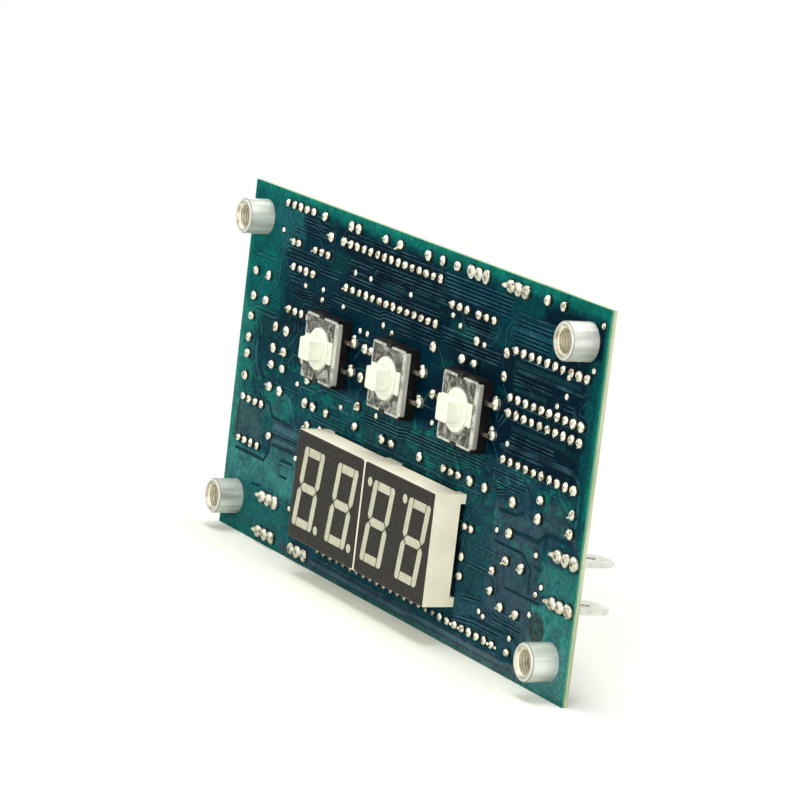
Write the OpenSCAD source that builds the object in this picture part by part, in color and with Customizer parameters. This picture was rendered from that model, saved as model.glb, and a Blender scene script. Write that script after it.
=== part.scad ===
// Four digit temperature display board with three push buttons.
// The board stands upright. X runs to the right, Z runs up and the viewer is on the -Y side.
// Digits, buttons, standoffs and soldered joints are in front, the other parts are behind.
// The origin is the middle of the board's front face, which is also the middle of the
// four standoffs. Everything is in millimetres.

/* [Board] */
// Width of the circuit board
board_w = 127; // [127:1:150]
// Height of the circuit board
board_h = 63.5; // [63.5:0.5:80]
// Thickness of the circuit board
board_t = 1.0; // [0.8:0.1:2.4]
// Spacing of the lead grid
pitch = 2.54; // [2.5:0.01:2.56]
// Drill for component leads
lead_hole_d = 1.0; // [0.9:0.05:1.2]

/* [Standoffs] */
// Distance from the side edges to the standoff centres
standoff_edge_x = 5.6; // [5:0.1:6]
// Distance from the top and bottom edges to the standoff centres
standoff_edge_z = 6; // [4.6:0.1:6.4]
// Outside diameter of a standoff
standoff_d = 6.35; // [5.6:0.05:6.5]
// Length of a standoff in front of the board
standoff_len = 4.8; // [3:0.1:12]
// Bore of a standoff
standoff_bore_d = 4.0; // [2.6:0.1:4.2]
// Shank of a standoff that is pressed into the board
shank_d = 5.4; // [5.2:0.1:5.6]

/* [Digits] */
// Width of one two digit module
module_w = 25.1; // [24:0.1:25.4]
// Height of one two digit module
module_h = 19; // [18:0.1:21]
// Depth of a module from the board to its face
module_depth = 5.8; // [5.5:0.1:10]
// Gap between the two modules
module_gap = 0.2; // [0.1:0.05:0.6]
// Grid column of the joint between the modules
display_col = 25.2; // [25:0.1:26]
// Grid row of the middle of the digits
display_row = 18.65; // [18.5:0.05:18.8]
// Length of the corner feet that hold a module off the board
foot_t = 0.9; // [0.6:0.1:1.2]
// Width of the corner feet of a module
foot_w = 2.2; // [1.5:0.1:3]
// Height of the corner feet of a module
foot_h = 1.6; // [1.2:0.1:2.4]
// Wall round the resin of a module
housing_wall = 1; // [0.8:0.1:1.2]
// Thickness of the dark face
mask_t = 0.3; // [0.2:0.05:0.6]
// Pale rim that the dark face leaves free
mask_rim = 0.14; // [0.1:0.02:0.5]
// Height of a digit
digit_h = 14.2; // [12:0.1:14.6]
// Width of a digit, without its slant
digit_w = 7.6; // [6.5:0.1:8]
// Spacing of the two digits of a module
digit_spacing = 12.7; // [12:0.1:12.8]
// Slant of the digits in degrees
digit_slant = 9; // [0:0.5:10]
// Width of a segment
segment_w = 1.5; // [1:0.1:1.8]
// Gap between two segments
segment_gap = 0.2; // [0.1:0.05:0.4]
// Diameter of a decimal point
point_d = 1.6; // [1.2:0.1:1.8]
// Depth of the resin that closes the back of a module
potting_t = 1.5; // [1:0.1:2]
// Height between the two pin rows of a module
module_row = 15.24; // [14:0.01:15.6]

/* [Push buttons] */
// Side of a button's square base
button_w = 12; // [11:0.1:12.6]
// Height of a button from the board to its metal cover
button_h = 2.9; // [2.8:0.1:4.5]
// Spacing of the buttons in grid steps
button_steps = 10; // [9:0.5:10]
// Height of the metal cover, which leaves the base bare above and below
cover_len = 11.4; // [10.8:0.1:11.6]
// Sheet thickness of the metal cover
cover_t = 0.3; // [0.2:0.05:0.5]
// Depth of the cover's folded sides
cover_skirt = 1.1; // [0.6:0.1:1.4]
// Diameter of the round collar of a plunger
collar_d = 7.4; // [6:0.1:7.8]
// Height of the collar above the cover
collar_rise = 0.5; // [0.3:0.1:1.2]
// Side of the square stem of a plunger
stem_w = 3.8; // [3:0.1:4.4]
// Height of the stem above the collar
stem_rise = 2.3; // [2:0.1:5]
// Clearance round a plunger
plunger_gap = 0.3; // [0.2:0.05:0.4]
// Travel of a plunger
button_travel = 0.25; // [0.15:0.05:0.3]

/* [Packages] */
// Height of the integrated circuits above the board
package_top = 3.1; // [2.8:0.1:4.5]
// Gap under the integrated circuits
package_seat = 0.4; // [0.3:0.1:0.6]
// Width of the integrated circuit bodies
package_w = 6.4; // [6:0.1:6.6]
// Diameter of a resistor body at its ends
resistor_d = 2.1; // [1.8:0.1:2.2]
// Length of a resistor body
resistor_len = 6.3; // [5:0.1:6.6]
// Diameter of a round capacitor body
disc_d = 3.6; // [3:0.1:4]
// Diameter of a can capacitor
can_d = 4.6; // [4:0.1:5]
// Height of a can capacitor
can_h = 7; // [5:0.5:12]
// Height of a resistor network
network_h = 5; // [4:0.1:6]
// Thickness of a resistor network
network_t = 2.3; // [2:0.1:2.6]
// Length of the header's pins beyond its base
header_pin = 3.1; // [2.5:0.1:8]

/* [Connection tabs] */
// Width of a connection tab
tab_w = 6.35; // [6:0.05:6.8]
// Sheet thickness of a connection tab
tab_t = 0.8; // [0.6:0.05:0.9]
// Height of a connection tab behind the board
tab_h = 6.4; // [6:0.1:10]
// Hole in a connection tab
tab_hole_d = 1.6; // [1.2:0.1:2]

/* [Soldered joints] */
// Diameter of a joint at a circuit, header, network or transistor
joint_d = 1.6; // [1.4:0.05:1.9]
// Diameter of a joint at a resistor, diode or round capacitor
wide_joint_d = 1.9; // [1.5:0.05:2.1]
// Height of these joints
joint_h = 0.7; // [0.4:0.1:1.3]
// Diameter of a large joint at the board
big_joint_d = 2.4; // [2:0.1:2.5]
// Height of a large joint
big_joint_h = 0.9; // [0.6:0.1:1.8]
// Height of the joints round the terminals of the buttons
button_joint_h = 0.8; // [0.6:0.1:1.2]
// Width of a lead where it comes out of a joint
lead_tip_d = 0.6; // [0.4:0.05:0.7]
// Length of the lead that stands out of a joint
lead_tip = 0.2; // [0.2:0.05:1]

/* [Hidden] */

// Round shapes get enough steps to look smooth.
$fn = 48;
// Small round shapes, such as leads and joints.
fine = 20;

// The layout has 50 columns from the left edge and 25 rows from the top edge. A part's
// place moves with the board, and its leads keep their own pitch.
cols = 50;
rows = 25;
function grid_x(col) = (col / cols - 1 / 2) * board_w;
function grid_z(row) = (1 / 2 - row / rows) * board_h;
// Columns that some lead steps take up.
function steps(n) = n * pitch * cols / board_w;

// Middle of the first push button.
button_col = 14.5;
button_row = 9.5;

// Integrated circuits: first column, upper row and pins in a row.
controller = [15.6, 2, 14];
drivers = [[39.4, 4.6, 8], [39.4, 8.6, 8]];
memory = [button_col - steps(7), 5, 4];
amplifier = [1.9, 15.4, 4];
circuits = concat([controller], drivers, [memory], [amplifier]);
// Grid steps between the two rows of an integrated circuit.
row_steps = 3;

// Resistors lie along the rows: column and row of the left lead, steps to the right one.
resistors = [
  [11.4, 0.8, 4], [16.5, 0.8, 4], [22.6, 0.8, 4],
  [34.3, 5, 4], [28.7, 6.5, 4], [34.3, 6.5, 4],
  [1.8, 9.6, 4], [1.8, 11.1, 4], [1.8, 12.3, 4], [1.8, 13.9, 4],
  [7.5, 9.6, 3], [7.5, 11.1, 3], [7.5, 12.3, 4], [7.5, 13.9, 4],
  [19.2, 13.9, 4], [24.6, 13.9, 4],
  [44.6, 13.1, 4], [44.6, 14.3, 4]
];

// More resistors stand across the rows at the end of each driver.
cross_resistors = [
  for (d = drivers, i = [0, 1])
    [d[0] + steps(d[2] + i), d[1]]
];

// Round capacitors: column and row of the first lead, then steps right and down.
discs = [
  [12.6, 2, 2, 0], [28.6, 0.8, 2, 0], [42.5, 0.8, 2, 0],
  [1.8, 6.3, 2, 0], [1.8, 8.1, 2, 0], [19.3, 8.5, 1, 0],
  [29.4, 9.5, 1, 0], [19.2, 10.5, 0, 2], [12.8, 13.9, 2, 0],
  [12.2, 15.3, 2, 0], [35.6, 13.9, 2, 0], [41.3, 14, 0, 2]
];

// Can capacitors, in the same form.
cans = [
  [7.1, 3.3, 0.8, 0], [35.7, 16.9, 0.8, 0],
  [39.8, 18.8, 0, 1.3], [35.7, 18.9, 0, 1.3]
];

// Transistors: column and row of the first of three leads.
transistor_spots = [[10.5, 3.3], [30.6, 3.3], [34.2, 3.3], [32, 13.9]];

// Diodes stand across the rows: column, row and steps down.
diode_steps = 3;
diode_spots = [[41.3, 17.8], [43.3, 17.8]];

// Header: first column, row and pins.
header = [5.6, 0.8, 5];

// Resistor networks stand in one row: steps to the first pin, and pins.
network_spot = [15.8, 23.4];
networks = [[0, 9], [9, 9], [18, 8]];

// Connection tabs: column and row of the first of three legs.
tab_spots = [[47.5, 16], [47.5, 19], [6.6, 21.7], [6.6, 24.2], [37.7, 0.8]];
// Places for two more tabs, which are filled with solder.
spare_tab_spots = [[32.4, 0.8], [11.8, 24.2]];
tab_legs = 3;

// Test pins.
test_spots = [[6.6, 17.3], [network_spot[0] + steps(27), network_spot[1]]];

// Steps from the middle of a button to its terminals.
terminal_out = 3.2;
terminal_up = 1;

// Pins of a two digit module: five in each row.
module_pins = 5;

// Derived sizes.
back_y = board_t;
display_z = grid_z(display_row);
module_step = (module_w + module_gap) / 2;
left_x = grid_x(display_col) - module_step;
right_x = grid_x(display_col) + module_step;
face_y = -module_depth;
housing_front = face_y + mask_t;
housing_back = -foot_t;
potting_front = housing_back - potting_t;
cover_y = -button_h;
flange_gap = 0.15;
flange_t = 0.6;
flange_d = collar_d + 2 * plunger_gap + 1;
well_d = flange_d + 2 * plunger_gap;
flange_y = cover_y + cover_t + flange_gap;
dome_gap = button_travel + 0.05;
hook_w = 1.8;
hook_t = 0.6;
bend_r = cover_t + 0.15;
corner_cut = 0.8;
dome_top = flange_y + flange_t + dome_gap;
dome_rise = 0.5;
floor_y = dome_top + dome_rise;
lead_w = 0.5;
wire_d = 0.6;
strip_w = 0.7;
strip_t = 0.3;

// Moves to a part's place, then some lead steps to the right and down.
module at_pin(spot, right = 0, down = 0) {
  translate([grid_x(spot[0]) + right * pitch, 0, grid_z(spot[1]) - down * pitch])
    children();
}

// A cylinder along Y from y0 to y1.
module rod(d, y0, y1, f = fine) {
  translate([0, y0, 0])
    rotate([-90, 0, 0])
      cylinder(d = d, h = y1 - y0, $fn = f);
}

// A cone along Y, d0 wide at y0 and d1 wide at y1.
module taper(d0, y0, d1, y1, f = fine) {
  translate([0, y0, 0])
    rotate([-90, 0, 0])
      cylinder(d1 = d0, d2 = d1, h = y1 - y0, $fn = f);
}

// A block by its middle in X and Z and its two ends in Y.
module bar(w, y0, y1, h) {
  translate([-w / 2, y0, -h / 2])
    cube([w, y1 - y0, h]);
}

// Repeats a child at every place of a list that starts with column and row.
module at_each(spots) {
  for (s = spots)
    at_pin(s)
      children();
}

// Puts a child at each pin of an integrated circuit.
module circuit_pins(c) {
  for (i = [0 : c[2] - 1], k = [0, row_steps])
    at_pin(c, i, k)
      children();
}

// Puts a child at both leads of each two lead part.
module lead_pairs(spots) {
  for (s = spots, k = [0, 1])
    at_pin(s, k * s[2], k * s[3])
      children();
}

// Puts a child at both leads of each resistor and each diode.
module resistor_ends() {
  for (s = resistors, k = [0, 1])
    at_pin(s, k * s[2])
      children();
  for (s = cross_resistors, k = [0, row_steps])
    at_pin(s, 0, k)
      children();
}

module diode_ends() {
  for (s = diode_spots, k = [0, diode_steps])
    at_pin(s, 0, k)
      children();
}

// Puts a child at the pins of the transistors, header, networks and tabs.
module transistor_pins() {
  for (s = transistor_spots, i = [0 : 2])
    at_pin(s, i)
      children();
}

module header_places() {
  for (i = [0 : header[2] - 1])
    at_pin(header, i)
      children();
}

module network_pins() {
  for (n = networks, i = [0 : n[1] - 1])
    at_pin(network_spot, n[0] + i)
      children();
}

module tab_leg_places(spots) {
  for (s = spots, i = [0 : tab_legs - 1])
    at_pin(s, i)
      children();
}

// Puts a child at the middle of button n, or at its four terminals.
module at_button(n) {
  at_pin([button_col + (n - 1) * button_steps, button_row])
    children();
}

module terminal_places() {
  for (n = [1 : 3], i = [-1, 1], k = [-1, 1])
    at_button(n)
      translate([i * terminal_out * pitch, 0, k * terminal_up * pitch])
        children();
}

// Puts a child at the ten pins of a module whose middle is at x.
module module_pin_places(x) {
  for (i = [0 : module_pins - 1], k = [-1, 1])
    translate([x + (i - (module_pins - 1) / 2) * pitch, 0, display_z + k * module_row / 2])
      children();
}

// Puts a child at the four standoffs.
module standoff_places() {
  for (i = [-1, 1], k = [-1, 1])
    translate([i * (board_w / 2 - standoff_edge_x), 0, k * (board_h / 2 - standoff_edge_z)])
      children();
}

// The board with a hole for every lead and shank.
module circuit_board() {
  drill = lead_hole_d;
  leg_drill = tab_t + 0.5;
  color("teal")
    difference() {
      bar(board_w, 0, board_t, board_h);
      for (c = circuits)
        circuit_pins(c) rod(drill, -1, board_t + 1);
      resistor_ends() rod(drill, -1, board_t + 1);
      diode_ends() rod(drill, -1, board_t + 1);
      lead_pairs(discs) rod(drill, -1, board_t + 1);
      lead_pairs(cans) rod(drill, -1, board_t + 1);
      transistor_pins() rod(drill, -1, board_t + 1);
      header_places() rod(drill, -1, board_t + 1);
      network_pins() rod(drill, -1, board_t + 1);
      terminal_places() rod(drill + 0.3, -1, board_t + 1);
      at_each(test_spots) rod(drill, -1, board_t + 1);
      tab_leg_places(tab_spots) rod(leg_drill, -1, board_t + 1);
      module_pin_places(left_x) rod(drill, -1, board_t + 1);
      module_pin_places(right_x) rod(drill, -1, board_t + 1);
      standoff_places() rod(shank_d + 0.1, -1, board_t + 1);
    }
}

// Round standoffs, pressed through the board and flared behind it.
module standoffs() {
  r = standoff_d / 2;
  b = standoff_bore_d / 2;
  edge = 0.3;
  lead_in = 0.5;
  flare = 0.6;
  color("silver")
    standoff_places()
      rotate([90, 0, 0])
        rotate_extrude()
          polygon([
            [b, -board_t - flare], [shank_d / 2 + 0.5, -board_t - flare],
            [shank_d / 2 + 0.5, -board_t], [shank_d / 2, -board_t],
            [shank_d / 2, 0], [r, 0], [r, standoff_len - edge],
            [r - edge, standoff_len], [b + lead_in, standoff_len],
            [b, standoff_len - lead_in]
          ]);
}

// Outline of one segment in an upright digit, as seen by the viewer, before its slant.
function upper_bar(s) = [
  [s * (digit_w / 2), digit_h / 2 - 0.5],
  [s * (digit_w / 2 - 0.4), digit_h / 2],
  [s * (digit_w / 2 - segment_w + 0.15), digit_h / 2],
  [s * (digit_w / 2 - segment_w), digit_h / 2 - 0.4],
  [s * (digit_w / 2 - segment_w), segment_w / 2 + segment_gap],
  [s * (digit_w / 2 - segment_w / 2), segment_gap],
  [s * (digit_w / 2), segment_w / 2 + segment_gap]
];
function flip(points) = [for (p = points) [p[0], -p[1]]];
flat_x = digit_w / 2 - segment_w - segment_gap;
end_bar = [
  [-flat_x, digit_h / 2], [flat_x, digit_h / 2],
  [flat_x, digit_h / 2 - segment_w], [-flat_x, digit_h / 2 - segment_w]
];
middle_bar = [
  [-flat_x - segment_w / 2, 0], [-flat_x, segment_w / 2], [flat_x, segment_w / 2],
  [flat_x + segment_w / 2, 0], [flat_x, -segment_w / 2], [-flat_x, -segment_w / 2]
];
digit_bars = [
  end_bar, flip(end_bar), middle_bar,
  upper_bar(-1), upper_bar(1), flip(upper_bar(-1)), flip(upper_bar(1))
];

// Leans an outline to the right as it rises.
function lean(points) = [for (p = points) [p[0] + p[1] * tan(digit_slant), p[1]]];

// Decimal point, low on the right of a digit.
point_x = digit_w / 2 + 0.4;
point_z = 0.7 - digit_h / 2;

// The lit openings of a module between two depths, for one module with its middle at x.
// The turned module hangs upside down, so its points lie high on the left.
module module_openings(x, turned, y0, y1, slack = 0) {
  translate([x, 0, display_z])
    rotate([0, turned ? 180 : 0, 0])
      for (i = [-1, 1])
        translate([i * digit_spacing / 2 - 0.4, y1, 0])
          rotate([90, 0, 0]) {
            for (b = digit_bars)
              linear_extrude(y1 - y0)
                polygon(lean(b));
            translate([point_x, point_z, 0])
              cylinder(d = point_d - slack, h = y1 - y0, $fn = 32);
          }
}

// White moulded housing with four feet, open at the back for the resin.
module digit_housing(x, turned) {
  difference() {
    translate([x, 0, display_z])
      union() {
        bar(module_w, housing_front, housing_back, module_h);
        translate([0, face_y, 0])
          rim_frame();
      }
    module_openings(x, turned, face_y - 1, potting_front + 0.5);
    translate([x, 0, display_z])
      bar(module_w - 2 * housing_wall, potting_front, 1, module_h - 2 * housing_wall);
  }
  translate([x, 0, display_z])
    for (i = [-1, 1], k = [-1, 1])
      translate([i * (module_w - foot_w) / 2, 0, k * (module_h - foot_h) / 2])
        bar(foot_w, housing_back, 0, foot_h);
}

// Pale rim round the dark face.
module rim_frame() {
  difference() {
    bar(module_w, 0, mask_t, module_h);
    bar(module_w - 2 * mask_rim, -1, mask_t + 1, module_h - 2 * mask_rim);
  }
}

// Dark face with the openings cut out.
module digit_mask(x, turned) {
  difference() {
    translate([x, 0, display_z])
      bar(module_w - 2 * mask_rim, face_y, housing_front, module_h - 2 * mask_rim);
    module_openings(x, turned, face_y - 1, housing_front + 1);
  }
}

// Milky segments and points that fill the openings.
module digit_segments(x, turned) {
  module_openings(x, turned, face_y, potting_front, 0.04);
}

// Resin in the back of a module, with the pins left free.
module digit_potting(x) {
  difference() {
    translate([x, 0, display_z])
      bar(module_w - 2 * housing_wall, potting_front, housing_back, module_h - 2 * housing_wall);
    module_pin_places(x) bar(lead_w, potting_front - 1, 1, lead_w);
  }
}

// Pins of a module, from the resin through the board.
module digit_pins(x) {
  module_pin_places(x)
    bar(lead_w, potting_front, board_t, lead_w);
}

module left_digit_housing() {
  color("ivory") digit_housing(left_x, false);
}

module left_digit_mask() {
  color("dimgray") digit_mask(left_x, false);
}

module left_digit_segments() {
  color("beige") digit_segments(left_x, false);
}

module left_digit_potting() {
  color("lightgray") digit_potting(left_x);
}

module left_digit_pins() {
  color("silver") digit_pins(left_x);
}

module right_digit_housing() {
  color("ivory") digit_housing(right_x, true);
}

module right_digit_mask() {
  color("dimgray") digit_mask(right_x, true);
}

module right_digit_segments() {
  color("beige") digit_segments(right_x, true);
}

module right_digit_potting() {
  color("lightgray") digit_potting(right_x);
}

module right_digit_pins() {
  color("silver") digit_pins(right_x);
}

// Black base of a button: a square box with a round well and two hooks for the cover.
module hook_places() {
  for (k = [-1, 1])
    translate([0, 0, k * (button_w - hook_t) / 2])
      children();
}

module button_base(n) {
  color("black")
    at_button(n)
      union() {
        difference() {
          bar(button_w, cover_y + cover_t, 0, button_w);
          rod(well_d, cover_y, floor_y, 48);
          for (i = [-1, 1])
            translate([i * button_w / 2, 0, 0])
              bar(2 * bend_r, cover_y, cover_y + cover_skirt, button_w + 1);
        }
        hook_places()
          bar(hook_w, cover_y - 0.1, cover_y + cover_t, hook_t);
      }
}

// Points on an arc of radius r about [x, y].
function arc(x, y, r, from, to, steps = 6) = [
  for (i = [0 : steps])
    let (a = from + (to - from) * i / steps)
      [x + r * cos(a), y + r * sin(a)]
];

// Metal cover: one sheet with two folded sides, a round hole and a notch for each hook.
module button_cover(n) {
  w = button_w / 2;
  l = cover_len / 2;
  inner = bend_r - cover_t;
  outside = concat(
    arc(bend_r - w, cover_y + bend_r, bend_r, 180, 270),
    arc(w - bend_r, cover_y + bend_r, bend_r, 270, 360)
  );
  inside = concat(
    arc(w - bend_r, cover_y + bend_r, inner, 360, 270),
    arc(bend_r - w, cover_y + bend_r, inner, 270, 180)
  );
  ends = cover_y + cover_skirt;
  color("gray")
    at_button(n)
      difference() {
        translate([0, 0, -l])
          linear_extrude(cover_len)
            polygon(concat(
              [[-w, ends]], outside, [[w, ends], [w - cover_t, ends]],
              inside, [[cover_t - w, ends]]
            ));
        rod(collar_d + 2 * plunger_gap, cover_y - 1, cover_y + cover_t + 0.01, 48);
        hook_places()
          bar(hook_w + 0.2, cover_y - 1, cover_y + cover_t + 1, hook_t + 0.2);
        for (i = [-1, 1], k = [-1, 1])
          translate([i * w, 0, k * l])
            rotate([0, 45, 0])
              bar(corner_cut, cover_y - 1, ends + 1, corner_cut);
      }
}

// Plunger with a hidden flange, a round collar and a square stem.
module button_plunger(n) {
  round_off = 0.25;
  chamfer = 0.25;
  s = stem_w / 2;
  collar_y = cover_y - collar_rise;
  color("ivory")
    at_button(n)
      union() {
        rod(flange_d, flange_y, flange_y + flange_t, 48);
        rod(collar_d, collar_y + round_off, flange_y, 48);
        taper(collar_d - 2 * round_off, collar_y, collar_d, collar_y + round_off, 48);
        translate([0, collar_y, 0])
          rotate([90, 0, 0])
            linear_extrude(stem_rise)
              polygon([
                [chamfer - s, -s], [s - chamfer, -s], [s, chamfer - s], [s, s - chamfer],
                [s - chamfer, s], [chamfer - s, s], [-s, s - chamfer], [-s, chamfer - s]
              ]);
      }
}

// Spring dome in the well under a plunger.
module button_dome(n) {
  sheet = 0.15;
  span = well_d - 1.2;
  color("silver")
    at_button(n)
      difference() {
        taper(span * 0.4, dome_top, span, floor_y, 48);
        taper(span * 0.4, dome_top + sheet, span, floor_y + sheet, 48);
      }
}

module button_1_base() {
  button_base(1);
}

module button_1_cover() {
  button_cover(1);
}

module button_1_plunger() {
  button_plunger(1);
}

module button_1_dome() {
  button_dome(1);
}

module button_2_base() {
  button_base(2);
}

module button_2_cover() {
  button_cover(2);
}

module button_2_plunger() {
  button_plunger(2);
}

module button_2_dome() {
  button_dome(2);
}

module button_3_base() {
  button_base(3);
}

module button_3_cover() {
  button_cover(3);
}

module button_3_plunger() {
  button_plunger(3);
}

module button_3_dome() {
  button_dome(3);
}

// Terminals that leave the bases sideways and turn down into the board.
module button_terminals() {
  low = -button_joint_h - 0.2 - strip_t;
  reach = terminal_out * pitch - button_w / 2;
  color("silver")
    for (n = [1 : 3], i = [-1, 1], k = [-1, 1])
      at_button(n)
        translate([i * terminal_out * pitch, 0, k * terminal_up * pitch])
          union() {
            bar(strip_t, low, board_t, strip_w);
            translate([-i * (reach + strip_t / 2) / 2, 0, 0])
              bar(reach - strip_t / 2, low, low + strip_t, strip_w);
          }
}

// Dual in line package: a moulding with drafted ends, a notch and a first pin dimple.
module package(c) {
  len = (c[2] - 1) * pitch + 1.9;
  mid = (package_seat + package_top) / 2;
  draft = 0.3;
  at_pin(c, (c[2] - 1) / 2, row_steps / 2)
    difference() {
      translate([-len / 2, back_y, 0])
        rotate([0, 90, 0])
          rotate([0, 0, 90])
            linear_extrude(len)
              polygon([
                [package_seat, -package_w / 2 + draft], [mid, -package_w / 2],
                [package_top, -package_w / 2 + draft], [package_top, package_w / 2 - draft],
                [mid, package_w / 2], [package_seat, package_w / 2 - draft]
              ]);
      translate([-len / 2, 0, 0])
        rod(2, back_y + package_top - 0.5, back_y + package_top + 1);
      translate([1.4 - len / 2, 0, package_w / 2 - 1.4])
        rod(1, back_y + package_top - 0.2, back_y + package_top + 1);
    }
}

// Leads of a dual in line package.
module package_leads(c) {
  strap_w = 1.2;
  strap_t = 0.25;
  mid = back_y + (package_seat + package_top) / 2;
  out = row_steps * pitch / 2 - package_w / 2;
  for (i = [0 : c[2] - 1], k = [0, 1])
    at_pin(c, i, k * row_steps)
      union() {
        bar(lead_w, 0, mid, strap_t);
        bar(strap_w, back_y + 0.3, mid, strap_t);
        translate([0, 0, (k * 2 - 1) * (out - strap_t / 2) / 2])
          bar(strap_w, mid - strap_t, mid, out + strap_t / 2);
      }
}

module controller_package() {
  color("black") package(controller);
}

module controller_leads() {
  color("silver") package_leads(controller);
}

module driver_packages() {
  color("black")
    for (d = drivers)
      package(d);
}

module driver_leads() {
  color("silver")
    for (d = drivers)
      package_leads(d);
}

module memory_package() {
  color("black") package(memory);
}

module memory_leads() {
  color("silver") package_leads(memory);
}

module amplifier_package() {
  color("black") package(amplifier);
}

module amplifier_leads() {
  color("silver") package_leads(amplifier);
}

// Resistor body: two caps and a slimmer barrel, turned about its long axis.
resistor_y = back_y + resistor_d / 2 + 0.1;
module resistor_body() {
  r = resistor_d / 2;
  h = resistor_len / 2;
  rotate_extrude()
    polygon([
      [0, -h], [r - 0.4, -h], [r, -h + 0.4], [r, -h + 1.2], [r - 0.2, -h + 1.6],
      [r - 0.2, h - 1.6], [r, h - 1.2], [r, h - 0.4], [r - 0.4, h], [0, h]
    ]);
}

module resistor_bodies() {
  color("tan") {
    for (s = resistors)
      at_pin(s, s[2] / 2)
        translate([0, resistor_y, 0])
          rotate([0, 90, 0])
            resistor_body();
    for (s = cross_resistors)
      at_pin(s, 0, row_steps / 2)
        translate([0, resistor_y, 0])
          resistor_body();
  }
}

// A lead that rises from the board and turns towards a body that is gap away.
module bent_lead(gap, y) {
  rod(wire_d, 0, y);
  translate([0, y, 0])
    sphere(d = wire_d, $fn = fine);
  translate([0, y, 0])
    rotate([0, 90, 0])
      cylinder(d = wire_d, h = gap, $fn = fine);
}

module resistor_leads() {
  short_gap = (row_steps * pitch - resistor_len) / 2;
  color("silver") {
    for (s = resistors) {
      gap = (s[2] * pitch - resistor_len) / 2;
      at_pin(s)
        bent_lead(gap, resistor_y);
      at_pin(s, s[2])
        rotate([0, 180, 0])
          bent_lead(gap, resistor_y);
    }
    for (s = cross_resistors) {
      at_pin(s)
        rotate([0, 90, 0])
          bent_lead(short_gap, resistor_y);
      at_pin(s, 0, row_steps)
        rotate([0, -90, 0])
          bent_lead(short_gap, resistor_y);
    }
  }
}

// Small round capacitors: lens shaped bodies that stand on two leads.
disc_seat = 1.3;
module disc_capacitors() {
  r = disc_d / 2;
  t = 0.8;
  color("goldenrod")
    for (s = discs)
      at_pin(s, s[2] / 2, s[3] / 2)
        translate([0, back_y + disc_seat + r, 0])
          rotate([0, s[3] > 0 ? 90 : 0, 0])
            rotate_extrude()
              polygon([
                [0, -t], [r * 0.5, -t], [r * 0.85, -t * 0.65], [r, -t * 0.2],
                [r, t * 0.2], [r * 0.85, t * 0.65], [r * 0.5, t], [0, t]
              ]);
}

// Leads of the round capacitors, cranked in where they stand wider than the body.
module disc_capacitor_leads() {
  d = wire_d * 0.8;
  shelf = back_y + 0.6;
  color("silver")
    for (s = discs, k = [-1, 1])
      at_pin(s, s[2] / 2, s[3] / 2)
        rotate([0, s[3] > 0 ? 90 : 0, 0]) {
          half = max(s[2], s[3]) * pitch / 2;
          near = min(half, disc_d * 0.25);
          rise = sqrt(pow(disc_d / 2, 2) - pow(near - d / 2, 2));
          foot = back_y + disc_seat + disc_d / 2 - rise;
          translate([k * half, 0, 0])
            rod(d, 0, shelf);
          for (x = [near, half])
            translate([k * x, shelf, 0])
              sphere(d = d, $fn = fine);
          if (half > near)
            translate([k > 0 ? near : -half, shelf, 0])
              rotate([0, 90, 0])
                cylinder(d = d, h = half - near, $fn = fine);
          translate([k * near, 0, 0])
            rod(d, shelf, foot);
        }
}

// Can capacitors with a rolled neck, each on a rubber foot.
module can_capacitors() {
  r = can_d / 2;
  seat = 0.3;
  neck = 1.4;
  color("darkslategray")
    for (s = cans)
      at_pin(s, s[2] / 2, s[3] / 2)
        translate([0, back_y + seat, 0])
          rotate([-90, 0, 0])
            rotate_extrude()
              polygon([
                [0, 0], [r - 0.3, 0], [r, 0.3], [r, neck - 0.3], [r - 0.3, neck],
                [r, neck + 0.3], [r, can_h - 0.4], [r - 0.4, can_h], [0, can_h]
              ]);
}

module can_capacitor_leads() {
  color("silver")
    lead_pairs(cans)
      rod(wire_d * 0.8, 0, back_y + 0.3);
}

// Transistors: half round bodies with a flat side.
transistor_seat = 2.4;
module transistors() {
  color("black")
    for (s = transistor_spots)
      at_pin(s, 1)
        translate([0, back_y + transistor_seat, 0])
          intersection() {
            rod(4.7, 0, 4.5, 40);
            translate([0, 0, 0.75])
              bar(6, -1, 6, 4);
          }
}

// Transistor leads, spread from the body to the grid.
module transistor_leads() {
  shelf = back_y + transistor_seat - 0.9;
  color("silver")
    for (s = transistor_spots, i = [-1, 0, 1])
      at_pin(s, 1)
        union() {
          translate([i * pitch, 0, 0])
            bar(lead_w, 0, shelf, lead_w);
          translate([i * (pitch + 1.27) / 2, 0, 0])
            bar(abs(i) * (pitch - 1.27) + lead_w, shelf - lead_w, shelf, lead_w);
          translate([i * 1.27, 0, 0])
            bar(lead_w, shelf - lead_w, back_y + transistor_seat, lead_w);
        }
}

// Diodes: plain round bodies across the rows.
diode_d = 2.4;
diode_len = 4.4;
diode_y = back_y + diode_d / 2 + 0.1;
module diodes() {
  color("dimgray")
    for (s = diode_spots)
      at_pin(s, 0, diode_steps / 2)
        translate([0, diode_y, -diode_len / 2])
          cylinder(d = diode_d, h = diode_len, $fn = 32);
}

module diode_leads() {
  gap = (diode_steps * pitch - diode_len) / 2;
  color("silver")
    for (s = diode_spots) {
      at_pin(s)
        rotate([0, 90, 0])
          bent_lead(gap, diode_y);
      at_pin(s, 0, diode_steps)
        rotate([0, -90, 0])
          bent_lead(gap, diode_y);
    }
}

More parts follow.
